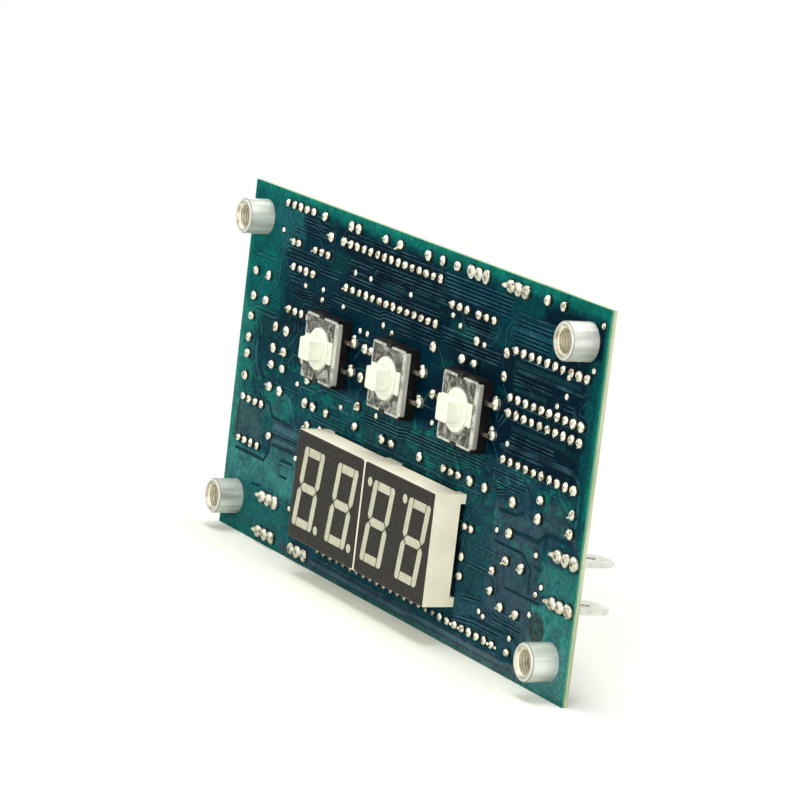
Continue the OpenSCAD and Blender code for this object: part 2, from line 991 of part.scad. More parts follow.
// Pin header: a notched plastic strip and square pins.
header_base_t = 2.5;
module header_base() {
  cut = 0.5;
  color("black")
    difference() {
      at_pin(header, (header[2] - 1) / 2)
        bar(header[2] * pitch, back_y, back_y + header_base_t, pitch);
      header_places()
        bar(lead_w + 0.14, 0, back_y + header_base_t + 1, lead_w + 0.14);
      for (i = [0 : header[2]], k = [-1, 1])
        at_pin(header, i - 0.5)
          translate([0, 0, k * pitch / 2])
            rotate([0, 45, 0])
              bar(cut, 0, back_y + header_base_t + 1, cut);
    }
}

module header_pins() {
  color("gold")
    header_places()
      bar(lead_w + 0.14, 0, back_y + header_base_t + header_pin, lead_w + 0.14);
}

// Resistor networks: flat upright blocks on one row of leads.
network_seat = 0.4;
module network_bodies() {
  color("saddlebrown")
    for (n = networks)
      at_pin(network_spot, n[0] + (n[1] - 1) / 2)
        bar(n[1] * pitch - 0.4, back_y + network_seat, back_y + network_seat + network_h, network_t);
}

module network_leads() {
  color("silver")
    network_pins()
      bar(lead_w, 0, back_y + network_seat, 0.3);
}

// Connection tabs: one sheet with three legs, a hole and a tapered end.
module connection_tabs() {
  taper_in = 1;
  leg = 0.9;
  color("gainsboro")
    for (s = tab_spots)
      at_pin(s, (tab_legs - 1) / 2)
        translate([0, 0, -tab_t / 2])
          linear_extrude(tab_t)
            difference() {
              union() {
                polygon([
                  [-tab_w / 2, back_y], [tab_w / 2, back_y],
                  [tab_w / 2, back_y + tab_h - taper_in], [tab_w / 2 - taper_in, back_y + tab_h],
                  [-tab_w / 2 + taper_in, back_y + tab_h], [-tab_w / 2, back_y + tab_h - taper_in]
                ]);
                for (i = [0 : tab_legs - 1])
                  translate([(i - (tab_legs - 1) / 2) * pitch - leg / 2, 0])
                    square([leg, back_y + 0.1]);
              }
              translate([0, back_y + tab_h * 0.5])
                circle(d = tab_hole_d, $fn = 32);
            }
}

// Test pins: round pins with a collar behind the board.
module test_pins() {
  color("silver")
    at_each(test_spots)
      union() {
        rod(0.8, 0, back_y + 4);
        rod(1.6, back_y, back_y + 0.8);
      }
}

// A soldered joint in front of the board, with the end of its lead.
module joint(d, h) {
  shoulder = h * 0.5;
  taper(d * 0.75, -shoulder, d, 0);
  taper(lead_tip_d, -h, d * 0.75, -shoulder);
  rod(lead_tip_d, -h - lead_tip, -h);
}

module circuit_joints() {
  color("lightgray")
    for (c = circuits)
      circuit_pins(c) joint(joint_d, joint_h);
}

module part_joints() {
  color("lightgray") {
    resistor_ends() joint(wide_joint_d, joint_h);
    diode_ends() joint(wide_joint_d, joint_h);
    lead_pairs(discs) joint(wide_joint_d, joint_h);
    lead_pairs(cans) joint(joint_d, joint_h);
    transistor_pins() joint(joint_d, joint_h);
    header_places() joint(joint_d, joint_h);
    at_each(test_spots) joint(joint_d, joint_h);
  }
}

module network_joints() {
  color("lightgray")
    network_pins() joint(joint_d, joint_h);
}

// Larger joints at the terminals of the buttons, round the strips.
module button_joints() {
  color("lightgray")
    terminal_places()
      difference() {
        taper(big_joint_d * 0.6, -button_joint_h, big_joint_d, 0);
        bar(strip_t, -button_joint_h - 1, 1, strip_w);
      }
}

module tab_joints() {
  color("lightgray") {
    tab_leg_places(tab_spots) joint(big_joint_d, big_joint_h);
    tab_leg_places(spare_tab_spots) {
      taper(big_joint_d * 0.5, -big_joint_h * 0.8, big_joint_d, 0);
      taper(big_joint_d * 0.9, board_t, big_joint_d * 0.6, board_t + 0.3);
    }
  }
}

// Joints of the module pins, behind the board.
module digit_joints() {
  color("lightgray")
    for (x = [left_x, right_x])
      module_pin_places(x)
        translate([0, board_t, 0])
          rotate([180, 0, 0])
            joint(joint_d, joint_h);
}

circuit_board();
standoffs();
left_digit_housing();
left_digit_mask();
left_digit_segments();
left_digit_potting();
left_digit_pins();
right_digit_housing();
right_digit_mask();
right_digit_segments();
right_digit_potting();
right_digit_pins();
button_1_base();
button_1_cover();
button_1_plunger();
button_1_dome();
button_2_base();
button_2_cover();
button_2_plunger();
button_2_dome();
button_3_base();
button_3_cover();
button_3_plunger();
button_3_dome();
button_terminals();
controller_package();
controller_leads();
driver_packages();
driver_leads();
memory_package();
memory_leads();
amplifier_package();
amplifier_leads();
resistor_bodies();
resistor_leads();
disc_capacitors();
disc_capacitor_leads();
can_capacitors();
can_capacitor_leads();
transistors();
transistor_leads();
diodes();
diode_leads();
header_base();
header_pins();
network_bodies();
network_leads();
connection_tabs();
test_pins();
circuit_joints();
part_joints();
network_joints();
button_joints();
tab_joints();
digit_joints();
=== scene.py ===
import bpy, bmesh, math, random, heapq
from collections import Counter
from mathutils import Vector, Matrix
from mathutils.geometry import delaunay_2d_cdt


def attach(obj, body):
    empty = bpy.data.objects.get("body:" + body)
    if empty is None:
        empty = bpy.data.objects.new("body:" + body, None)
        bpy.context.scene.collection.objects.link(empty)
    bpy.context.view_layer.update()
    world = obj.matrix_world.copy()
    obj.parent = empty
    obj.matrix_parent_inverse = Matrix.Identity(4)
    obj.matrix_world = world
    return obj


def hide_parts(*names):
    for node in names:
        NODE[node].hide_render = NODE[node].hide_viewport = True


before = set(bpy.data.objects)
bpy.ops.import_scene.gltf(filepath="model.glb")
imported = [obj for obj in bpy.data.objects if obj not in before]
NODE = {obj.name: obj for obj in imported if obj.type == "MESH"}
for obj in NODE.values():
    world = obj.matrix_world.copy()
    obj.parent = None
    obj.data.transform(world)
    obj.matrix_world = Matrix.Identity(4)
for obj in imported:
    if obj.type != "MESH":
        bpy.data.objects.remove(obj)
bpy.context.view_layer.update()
ROOT = "display_board"
MM = 0.001
# Lead spacing, board size and places, in millimetres, as in part.scad.
PITCH = 2.54
W, H, T = 127.0, 63.5, 1.0
STANDOFF_X, STANDOFF_Z = W / 2 - 5.6, H / 2 - 6.0
SEAM_X = 0.508
BUTTON_COLUMNS, BUTTON_ROW = (14.5, 24.5, 34.5), 9.5
rnd = random.Random(7)


# ---------- helpers ----------

def srgb(r, g, b):
    """A colour in 0 to 255 as the linear values that Blender takes."""
    def lin(v):
        v /= 255
        return v / 12.92 if v <= 0.04045 else ((v + 0.055) / 1.055) ** 2.4
    return (lin(r), lin(g), lin(b), 1)


def at_grid(c, w):
    """Column and row of the lead grid as X and Z in millimetres."""
    return c * PITCH - W / 2, H / 2 - w * PITCH


def col(x):
    return (x + W / 2) / PITCH


def row(z):
    return (H / 2 - z) / PITCH


def add_node(tree, kind, ins=None, **props):
    """Adds a shader node, sets its properties, and sets or links its inputs."""
    n = tree.nodes.new("ShaderNode" + kind)
    for k, v in props.items():
        setattr(n, k, v)
    for k, v in (ins or {}).items():
        if isinstance(v, bpy.types.NodeSocket):
            tree.links.new(v, n.inputs[k])
        elif v is not None:
            n.inputs[k].default_value = v
    return n


class Mat:
    """A node material with a few short cuts."""

    def __init__(self, name, color, rough=0.5, metal=0.0, spec=0.5):
        self.m = bpy.data.materials.new(name)
        self.m.use_nodes = True
        self.tree = self.m.node_tree
        self.b = self.tree.nodes["Principled BSDF"]
        self.set("Base Color", color)
        self.set("Roughness", rough)
        self.set("Metallic", metal)
        self.set("Specular IOR Level", spec)
        self.where = self.node("TexCoord").outputs["Object"]

    def set(self, key, value):
        self.b.inputs[key].default_value = value

    def link(self, v, key):
        self.tree.links.new(v, self.b.inputs[key])
        return self

    def node(self, kind, ins=None, **props):
        return add_node(self.tree, kind, ins, **props)

    def pos(self, scale=(1000, 1000, 1000)):
        """Object position in millimetres, stretched."""
        return self.node("VectorMath", {0: self.where, 1: scale}, operation="MULTIPLY").outputs[0]

    def xyz(self):
        return self.node("SeparateXYZ", {0: self.pos()}).outputs

    def noise(self, scale, detail=3, rough=0.5, at=None, dist=0.0):
        return self.node("TexNoise", {"Scale": scale, "Detail": detail, "Roughness": rough, "Distortion": dist,
                                      "Vector": at or self.pos()}).outputs["Fac"]

    def math(self, op, a, b=None):
        return self.node("Math", {0: a, 1: b}, operation=op).outputs[0]

    def mul(self, a, b):
        return self.math("MULTIPLY", a, b)

    def add(self, a, b):
        return self.math("ADD", a, b)

    def sub(self, a, b):
        return self.math("SUBTRACT", a, b)

    def mag(self, v):
        return self.math("ABSOLUTE", v)

    def most(self, a, b):
        return self.math("MAXIMUM", a, b)

    def remap(self, v, a, b, c=0.0, d=1.0):
        """Takes a to b onto c to d, and holds the ends."""
        return self.node("MapRange", {"Value": v, "From Min": a, "From Max": b, "To Min": c, "To Max": d}).outputs[0]

    def ramp(self, v, *stops):
        r = self.node("ValToRGB", {"Fac": v})
        e = r.color_ramp.elements
        while len(e) < len(stops):
            e.new(0.5)
        for s, (p, c) in zip(e, stops):
            s.position = p
            s.color = c
        return r.outputs["Color"]

    def mix(self, f, a, b):
        return self.node("Mix", {"Factor": f, 6: a, 7: b}, data_type="RGBA").outputs[2]

    def side(self):
        """1 on faces that look away from the front and the back."""
        s = self.node("SeparateXYZ", {0: self.node("NewGeometry").outputs["Normal"]})
        return self.remap(self.mag(s.outputs[1]), 0.7, 0.3)

    def color(self, v):
        return self.link(v, "Base Color")

    def rough(self, v):
        return self.link(v, "Roughness")

    def bump(self, v, strength=0.3, distance=0.05):
        """Bump from a height in 0 to 1, with its distance in millimetres."""
        b = self.node("Bump", {"Strength": strength, "Distance": distance * MM, "Height": v})
        last = self.b.inputs["Normal"]
        if last.is_linked:
            self.tree.links.new(last.links[0].from_socket, b.inputs["Normal"])
        return self.link(b.outputs["Normal"], "Normal")

    def surface(self, tone=None, gloss=None, relief=None, ends=(0.3, 0.7)):
        """Mottled colour, uneven roughness and relief, each as noise scale, detail and two values."""
        if tone:
            scale, detail, dark, light = tone
            self.color(self.ramp(self.noise(scale, detail), (ends[0], srgb(*dark)), (ends[1], srgb(*light))))
        if gloss:
            scale, detail, low, high = gloss
            self.rough(self.remap(self.noise(scale, detail), 0.3, 0.7, low, high))
        if relief:
            scale, detail, strength, distance = relief
            self.bump(self.noise(scale, detail), strength, distance)
        return self


def dress(mat, *names):
    """Gives CAD nodes a material."""
    for n in names:
        o = NODE[n]
        o.data.materials.clear()
        o.data.materials.append(mat.m)


def bevel(width, *names, segments=2):
    """Softens the edges of CAD nodes, with a width in millimetres."""
    for n in names:
        m = NODE[n].modifiers.new("soft_edges", "BEVEL")
        m.width = width * MM
        m.segments = segments
        m.limit_method = "ANGLE"
        m.angle_limit = math.radians(35)


def put(name, data):
    """Adds an object to the scene."""
    o = bpy.data.objects.new(name, data)
    bpy.context.scene.collection.objects.link(o)
    return o


def piece(name, bm, mats, body=ROOT, smooth=True, replaces=()):
    """Makes an object from a bmesh in millimetres and lets it ride on a body."""
    me = bpy.data.meshes.new(name)
    bmesh.ops.scale(bm, vec=(MM, MM, MM), verts=bm.verts)
    bmesh.ops.recalc_face_normals(bm, faces=bm.faces)
    if smooth:
        for f in bm.faces:
            f.smooth = True
    bm.to_mesh(me)
    bm.free()
    o = put(name, me)
    for m in mats:
        me.materials.append(m.m)
    if smooth:
        me.set_sharp_from_angle(angle=math.radians(50))
    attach(o, body)
    if replaces:
        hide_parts(*replaces)
    return o


def islands(node):
    """(lowest, highest) corner of each solid of a CAD node, in millimetres."""
    bm = bmesh.new()
    bm.from_mesh(NODE[node].data)
    bmesh.ops.remove_doubles(bm, verts=bm.verts, dist=1e-6)
    seen, out = set(), []
    for v in bm.verts:
        if v in seen:
            continue
        stack, lo, hi = [v], Vector((1e9,) * 3), Vector((-1e9,) * 3)
        seen.add(v)
        while stack:
            a = stack.pop()
            p = a.co / MM
            lo = Vector(map(min, lo, p))
            hi = Vector(map(max, hi, p))
            for e in a.link_edges:
                b = e.other_vert(a)
                if b not in seen:
                    seen.add(b)
                    stack.append(b)
        out.append((lo, hi))
    bm.free()
    out.sort(key=lambda b: (round(b[0].x, 2), round(b[0].z, 2)))
    return out


def middle(lo, hi):
    """X and Z of the middle of a box."""
    return (lo.x + hi.x) / 2, (lo.z + hi.z) / 2


def ring(bm, points):
    return [bm.verts.new(p) for p in points]


def skin(bm, rings, cap=(True, True), mat=0):
    """Joins rings of the same length into a closed surface. mat is one number or one for each side."""
    n = len(rings[0])
    for a, b in zip(rings, rings[1:]):
        for i in range(n):
            f = bm.faces.new((a[i], a[(i + 1) % n], b[(i + 1) % n], b[i]))
            f.material_index = mat if isinstance(mat, int) else mat[i]
    last = mat if isinstance(mat, int) else mat[0]
    if cap[0]:
        bm.faces.new(list(reversed(rings[0]))).material_index = last
    if cap[1]:
        bm.faces.new(rings[-1]).material_index = last


def lathe(bm, at, axis, profile, n=20, mat=0, wobble=0.0, lean=(0, 0), cap=(True, True)):
    """Turns (radius, distance along the axis) pairs about an axis through at, with a wobble and a lean."""
    axis = Vector(axis).normalized()
    u = Vector((1, 0, 0)) if abs(axis.x) < 0.9 else Vector((0, 0, 1))
    v = axis.cross(u)
    rings = []
    phase = rnd.random() * 6.28
    for r, d in profile:
        pts = []
        for i in range(n):
            a = 2 * math.pi * i / n
            k = r * (1 + wobble * math.sin(2 * a + phase) + 0.6 * wobble * math.sin(3 * a + 2 * phase))
            pts.append(Vector(at) + axis * d + u * (k * math.cos(a) + lean[0] * d * d)
                       + v * (k * math.sin(a) + lean[1] * d * d))
        rings.append(ring(bm, pts))
    skin(bm, rings, cap, mat)


# ---------- materials ----------

tin = Mat("tinned_lead", srgb(205, 203, 196), 0.28, 1.0).surface(gloss=(2.5, 4, 0.2, 0.42))


def solder_mat(name, tones, low=None):
    """Bright solder with small dark spots, and painted shade at the foot of the joint up to the height low."""
    m = Mat(name, srgb(220, 218, 204), 0.3, 1.0)
    spots = m.ramp(m.noise(1.15, 3, 0.6), *zip((0.33, 0.42, 0.56), tones))
    if low:
        # Painted shade: the foot of the joint, up to the height low, is darkened to a dull grey-brown.
        height = m.sub(m.mag(m.sub(m.xyz()[1], T / 2)), T / 2)
        height = m.add(height, m.mul(m.sub(m.noise(1.7, 2), 0.5), 0.25))
        spots = m.mix(m.remap(height, low - 0.08, low + 0.08, 0.0, 1.0), srgb(80, 78, 64), spots)
    return m.color(spots).surface(gloss=(2.0, 3, 0.28, 0.5), relief=(0.9, 3, 0.35, 0.1))


BRIGHT = (srgb(110, 98, 76), srgb(204, 200, 182), srgb(232, 230, 214))
solder = solder_mat("solder", BRIGHT, 0.36)
solder_thin = solder_mat("solder_thin", BRIGHT)
solder_wide = solder_mat("solder_wide", (srgb(96, 88, 70), srgb(166, 164, 146), srgb(212, 211, 196)), 0.2)

cut = Mat("cut_lead_end", srgb(150, 132, 112), 0.45, 1.0).surface(
    (3.0, 3, (84, 68, 52), (170, 154, 132)), ends=(0.35, 0.65))
# A dark ring of painted shade about each joint and filled hole.
shade_ring = Mat("painted_shade_ring", srgb(10, 22, 26), 0.4, 0, 0.05).surface(
    (0.8, 3, (4, 18, 27), (20, 31, 32)), (2, 2, 0.35, 0.6), ends=(0.35, 0.65))

# Tones of the solder mask over bare laminate, copper areas and bundles of tracks, with the lower half lighter, partly
# for its copper and partly as a painted reflection of the floor.
DEEP = srgb(0, 24, 38)
PATCHES = (
    # first column, first row, last column, last row, colour, weight and softness of the border
    # Lower half: lighter for its copper areas, and as a painted reflection of the floor.
    (-2, 11.8, 52, 27, (14, 62, 74), 0.9, 1.2),
    (-2, 5.5, 0.9, 24, (46, 130, 112), 0.8, 0.7),
    (5.5, 1.0, 14.5, 8.0, (0, 40, 53), 0.9, 2.2),
    (12.8, 5.6, 31, 8.4, (0, 40, 52), 0.85, 1.6),
    (29, 1.2, 38.5, 2.9, (0, 50, 66), 0.9, 0.6),
    (38, 2.4, 44, 4.4, (4, 59, 72), 0.9, 0.6),
    (-2, -1, 5.8, 9.0, (0, 90, 88), 0.95, 1.7),
    (-2, -1, 52, 0.9, (4, 92, 88), 0.9, 0.8),
    (3.6, 0.9, 8.2, 3.6, (24, 86, 92), 0.85, 0.8),
    (0.6, 8.6, 2.6, 15.8, (26, 108, 102), 0.9, 1.2),
    (3.0, 9.4, 9.4, 13.6, (10, 62, 68), 0.75, 1.4),
    (36.0, 1.0, 42, 2.4, (0, 60, 62), 0.85, 0.6),
    (35.6, 2.9, 38.4, 4.9, (0, 60, 65), 0.8, 0.5),
    (48.4, 3.6, 52, 15, (0, 66, 70), 0.85, 0.7),
    (30.5, 4.2, 33.5, 5.2, (0, 66, 62), 0.6, 0.4),
    (13.2, 2.8, 15.4, 4.6, (0, 60, 62), 0.6, 0.4),
    (10, 12.2, 20, 15.4, (12, 77, 82), 0.8, 0.8),
    (20, 12.2, 35, 15.4, (25, 64, 69), 0.8, 0.8),
    (38, 12.0, 43.5, 14.3, (30, 60, 73), 0.85, 0.5),
    (5.0, 13.9, 9.3, 15.9, (22, 106, 100), 0.9, 0.35),
    (0.9, 15.8, 5.2, 18.4, (51, 82, 84), 0.92, 0.35),
    (5.0, 15.0, 6.6, 17.2, (26, 98, 96), 0.7, 0.4),
    (6.6, 16.0, 10.9, 18.0, (54, 86, 96), 0.9, 0.3),
    (-1, 18.9, 11.0, 21.4, (55, 119, 118), 0.95, 0.5),
    (6.6, 18.0, 11.0, 19.6, (50, 102, 106), 0.9, 0.3),
    (2.6, 21.0, 11.0, 24.6, (28, 91, 91), 0.9, 0.6),
    (34.5, 14.2, 39.4, 22.4, (28, 65, 74), 0.9, 0.6),
    (39.0, 14.4, 45.4, 23.2, (49, 74, 85), 0.92, 0.7),
    (35.0, 21.4, 44, 23.4, (36, 72, 84), 0.8, 0.6),
    (44.9, 12.9, 48.2, 15.0, (42, 66, 72), 0.9, 0.4),
    (45.6, 16.7, 51, 18.8, (40, 106, 103), 0.95, 0.35),
    (45.2, 19.5, 51, 21.6, (52, 130, 122), 0.95, 0.45),
    (44.8, 21.4, 52, 26, (70, 123, 122), 0.95, 0.6),
    (9.6, 24.05, 34, 26, (54, 72, 84), 0.95, 0.35),
    (34, 24.05, 44.8, 26, (74, 90, 98), 0.95, 0.35),
    (-2, 24.3, 9.6, 26, (22, 98, 92), 0.8, 0.5),
)

DISPLAY = [v.co / MM for side in ("left", "right") for v in NODE[side + "_digit_housing"].data.vertices]


def mask_colour(m):
    """Colour of the solder mask, which lets bare laminate and copper show through, with painted shade under the digits
    and a painted reflection of the floor on the lower half.
    """
    x, y, z = m.xyz()
    c = m.add(m.math("DIVIDE", x, PITCH), W / 2 / PITCH)
    w = m.sub(H / 2 / PITCH, m.math("DIVIDE", z, PITCH))
    c = m.add(c, m.mul(m.sub(m.noise(0.3, 3, 0.6), 0.5), 2.0))
    sway = m.noise(0.34, 3, 0.6, at=m.pos((700, 900, 1100)))
    w = m.add(w, m.mul(m.sub(sway, 0.5), 1.1))
    shade = DEEP
    for c0, w0, c1, w1, paint, weight, soft in PATCHES:
        a, b = [m.remap(m.mag(m.sub(v, (v0 + v1) / 2)), (v1 - v0) / 2 + soft / 2, (v1 - v0) / 2 - soft / 2, 0, most)
                for v, v0, v1, most in ((c, c0, c1, weight), (w, w0, w1, 1))]
        shade = m.mix(m.mul(a, b), shade, srgb(*paint))
    # Brighter rim, where light comes through the laminate, and a faint line along the lower edge.
    rim = m.most(m.remap(m.mag(x), W / 2 - 1.4, W / 2 - 0.2, 0, 0.75),
                 m.remap(z, H / 2 - 1.9, H / 2 - 0.3, 0, 0.8))
    rim = m.mul(rim, m.remap(m.noise(0.2, 2), 0.35, 0.6, 0.35, 1.0))
    shade = m.mix(rim, shade, srgb(18, 124, 104))
    shade = m.mix(m.remap(z, -H / 2 + 1.2, -H / 2 + 0.2, 0, 0.5), shade, srgb(20, 100, 84))
    shade = m.mix(m.remap(m.noise(0.17, 4, 0.65), 0.45, 0.62, 0.0, 0.35), shade, DEEP)
    # Green and dark flecks, strongest in the rows above the digits.
    band = m.mul(m.remap(w, 11.0, 12.2), m.remap(w, 17.5, 16.0))
    band = m.remap(band, 0, 1, 0.18, 1.0)
    flecks = m.noise(0.36, 4, 0.65, at=m.pos((800, 1000, 1200)), dist=1.0)
    shade = m.mix(m.mul(m.remap(flecks, 0.54, 0.64, 0.0, 0.6), band), shade, srgb(10, 114, 96))
    shade = m.mix(m.mul(m.remap(flecks, 0.45, 0.34, 0.0, 0.6), band), shade, srgb(8, 38, 58))
    # Violet and dark stains on the copper areas at the lower right and left.
    right = m.mul(m.remap(c, 38.6, 39.4), m.remap(w, 23.2, 22.4))
    left = m.mul(m.remap(c, 11.0, 10.6), m.remap(w, 18.4, 18.0))
    copper = m.mul(m.most(right, left), m.remap(w, 13.6, 14.4))
    stain = m.noise(0.45, 4, 0.65, at=m.pos((1000, 1000, 800)), dist=0.6)
    shade = m.mix(m.mul(copper, m.remap(stain, 0.5, 0.62, 0.0, 0.42)), shade, srgb(64, 62, 78))
    shade = m.mix(m.mul(copper, m.remap(stain, 0.44, 0.36, 0.0, 0.4)), shade, srgb(18, 54, 70))
    # One dark soft stain near the lower right standoff, on the front only.
    front = m.math("LESS_THAN", y, T / 2)
    sx, sz = at_grid(45.8, 21.0)
    ex, ez = m.sub(x, sx), m.sub(z, sz)
    blot = m.mul(m.remap(m.add(m.mul(ex, ex), m.mul(ez, ez)), 8.2, 4.8, 0.0, 0.9), front)
    shade = m.mix(m.mul(blot, m.remap(m.noise(0.9, 3), 0.38, 0.6, 0.7, 1.0)), shade, srgb(46, 46, 50))
    # Painted shade: the front is dark where the digit modules stand over it.
    digit_shade = front
    for axis, along in ((0, x), (2, z)):
        a, b = min(p[axis] for p in DISPLAY), max(p[axis] for p in DISPLAY)
        d = m.mag(m.sub(along, (a + b) / 2))
        digit_shade = m.mul(digit_shade, m.remap(d, (b - a) / 2 + 0.1, (b - a) / 2 - 0.3))
    shade = m.mix(m.mul(digit_shade, 0.85), shade, srgb(0, 8, 14))
    # Fine light and dark grain over all of it.
    grain = m.remap(m.noise(1.1, 5, 0.7), 0.3, 0.7, 0.5, 1.42)
    return m.node("VectorMath", {0: shade, "Scale": grain}, operation="SCALE").outputs[0]


board = Mat("solder_mask", srgb(15, 90, 86), 0.3, 0.0, 0.007)
edge = board.side()
glass = board.ramp(board.noise(1.0, 3, at=board.pos((60, 4200, 60))),
                   (0.3, srgb(150, 158, 122)), (0.7, srgb(204, 207, 176)))
depth = board.add(board.xyz()[1], board.mul(board.noise(0.6, 3), 0.3))
glass = board.mix(board.remap(depth, 0.42, 0.62), srgb(84, 142, 114), glass)
board.color(board.mix(edge, mask_colour(board), glass))
board.rough(board.remap(edge, 0, 1, 0.3, 0.8))
board.surface(relief=(0.5, 3, 0.12, 0.05))
dress(board, "circuit_board")

# Tracks: the mask colour with lighter streaks of painted sheen along them.
track = Mat("covered_track", srgb(8, 38, 54), 0.3, 0.0, 0.014)
track_sheen = track.noise(0.5, 3, 0.6, at=track.pos((260, 1000, 900)))
track.color(track.mix(track.remap(track_sheen, 0.42, 0.68, 0.03, 0.5), mask_colour(track), srgb(58, 104, 120)))
track.surface(relief=(0.7, 2, 0.1, 0.03))

# Painted shade at the edges of tracks and copper areas: the mask colour darkened.
flank_shade = Mat("track_flank_painted_shade", srgb(8, 38, 54), 0.35, 0.0, 0.006)
flank_shade.color(flank_shade.mix(flank_shade.remap(flank_shade.noise(0.4, 3), 0.35, 0.7, 0.35, 0.85), mask_colour(flank_shade), srgb(0, 14, 24)))

area = Mat("covered_copper", srgb(40, 70, 84), 0.32, 0.0, 0.014)
area.color(area.mix(area.remap(area.noise(0.35, 4, 0.65), 0.35, 0.7, 0.0, 0.5), mask_colour(area), srgb(64, 92, 104)))
area.surface(relief=(0.6, 3, 0.12, 0.04))

trench = Mat("gap_in_copper", srgb(6, 44, 50), 0.4, 0.0, 0.012).surface(
    (0.5, 3, (4, 32, 42), (12, 52, 60)), (1.0, 2, 0.35, 0.5))

# Standoffs: streaks along the barrel as painted reflections, end faces with dark rims of painted shade, and lines of
# the thread in the bore.
alu = Mat("turned_aluminium", srgb(226, 226, 217), 0.42, 0.55)
lines = alu.noise(1.0, 3, 0.6, at=alu.pos((120, 7000, 120)))
# Broad streaks along the barrel: painted reflections.
reflection_streaks = alu.noise(1.0, 3, 0.5, at=alu.pos((600, 60, 600)))
barrel = alu.ramp(alu.add(alu.mul(lines, 0.14), alu.mul(reflection_streaks, 0.86)),
                  (0.38, srgb(182, 186, 176)), (0.58, srgb(232, 234, 224)))
x, y, z = alu.xyz()
dx, dz = alu.sub(alu.mag(x), STANDOFF_X), alu.sub(alu.mag(z), STANDOFF_Z)
far = alu.math("SQRT", alu.add(alu.mul(dx, dx), alu.mul(dz, dz)))
bore = alu.remap(far, 2.62, 2.48)
threads = alu.mul(alu.add(alu.math("SINE", alu.mul(y, 12.5)), 1.0), 0.5)
deep = alu.ramp(alu.add(alu.mul(threads, 0.2), alu.mul(alu.noise(0.5, 4, 0.65), 0.9)),
                (0.34, srgb(134, 129, 112)), (0.46, srgb(186, 178, 153)), (0.62, srgb(226, 220, 200)))
# Dark rims at the mouth of the bore and the outer edge of the end face: painted shade.
rim_shade = alu.most(alu.mul(alu.remap(far, 2.42, 2.52), alu.remap(far, 2.74, 2.62)), alu.remap(far, 2.98, 3.1))
cut_end = alu.mix(alu.mul(rim_shade, 0.85), srgb(204, 206, 196), srgb(104, 102, 92))
alu.color(alu.mix(bore, alu.mix(alu.side(), cut_end, barrel), deep))
alu.rough(alu.remap(lines, 0.3, 0.7, 0.38, 0.52))
alu.bump(lines, 0.1, 0.02)
alu.bump(alu.mul(threads, bore), 0.5, 0.1)
dress(alu, "standoffs")

# Housing: its front rim is inked dark like the face, but for the line between the two modules.
cream = Mat("housing_plastic", srgb(226, 222, 206), 0.42, 0, 0.4).surface(
    gloss=(3, 3, 0.36, 0.5), relief=(3.5, 3, 0.12, 0.03))
plain = cream.ramp(cream.noise(0.25, 4), (0.3, srgb(234, 228, 203)), (0.7, srgb(246, 241, 219)))
front_y = min(p.y for p in DISPLAY)
x, y, z = cream.xyz()
lip = cream.mul(cream.sub(1.0, cream.side()), cream.math("LESS_THAN", y, front_y + 0.3))
lip = cream.mul(lip, cream.remap(cream.mag(cream.sub(x, SEAM_X)), 0.7, 0.9))
cream.color(cream.mix(lip, plain, srgb(42, 37, 32)))
dress(cream, "left_digit_housing", "right_digit_housing")

ivory = Mat("plunger_plastic", srgb(238, 238, 226), 0.38, 0, 0.4).surface(
    (0.5, 3, (218, 220, 203), (227, 229, 213)), (4, 3, 0.32, 0.45))
ivory.set("Subsurface Weight", 0.1)
ivory.set("Subsurface Radius", (0.001, 0.001, 0.0008))
ivory.set("Subsurface Scale", 0.5)

# Covers: a mottled top with a painted highlight along its edge, and a brushed skirt.
plate = Mat("cover_sheet", srgb(150, 147, 140), 0.2, 1.0)
mott = plate.noise(0.42, 5, 0.65, dist=2.0)
wall = plate.side()
top = plate.ramp(mott, (0.36, srgb(34, 34, 32)), (0.47, srgb(88, 89, 80)),
                 (0.56, srgb(132, 133, 121)), (0.7, srgb(205, 206, 190)))
x, y, z = plate.xyz()
cx, cz = at_grid(BUTTON_COLUMNS[0], BUTTON_ROW)
half = (BUTTON_COLUMNS[1] - BUTTON_COLUMNS[0]) * PITCH / 2
x = plate.sub(plate.math("MODULO", plate.sub(x, cx - half), 2 * half), half)
border = plate.remap(plate.most(plate.mag(x), plate.mag(plate.sub(z, cz))), 5.25, 5.45)
# A painted highlight along the edge of the top.
edge_highlight = plate.mul(border, plate.remap(plate.noise(0.6, 3), 0.35, 0.55, 0.25, 1.0))
skirt = plate.ramp(plate.noise(1.0, 2, at=plate.pos((250, 700, 60))),
                   (0.35, srgb(150, 146, 138)), (0.65, srgb(194, 192, 181)))
plate.color(plate.mix(wall, plate.mix(edge_highlight, top, srgb(214, 216, 203)), skirt))
plate.rough(plate.mix(wall, plate.remap(mott, 0.3, 0.7, 0.16, 0.34), (0.5, 0.5, 0.5, 1)))
plate.link(plate.remap(wall, 0, 1, 1.0, 0.4), "Metallic")
plate.bump(plate.mul(plate.noise(0.35, 3, dist=0.5), plate.sub(1.0, wall)), 0.3, 0.12)

black = Mat("base_plastic", srgb(20, 20, 20), 0.4, 0, 0.15).surface(
    (0.8, 3, (8, 8, 9), (20, 20, 20)), (3, 3, 0.35, 0.55), (4, 3, 0.15, 0.03))

for i in (1, 2, 3):
    for mat, part in ((black, "base"), (plate, "cover"), (ivory, "plunger"), (tin, "dome")):
        dress(mat, f"button_{i}_{part}")

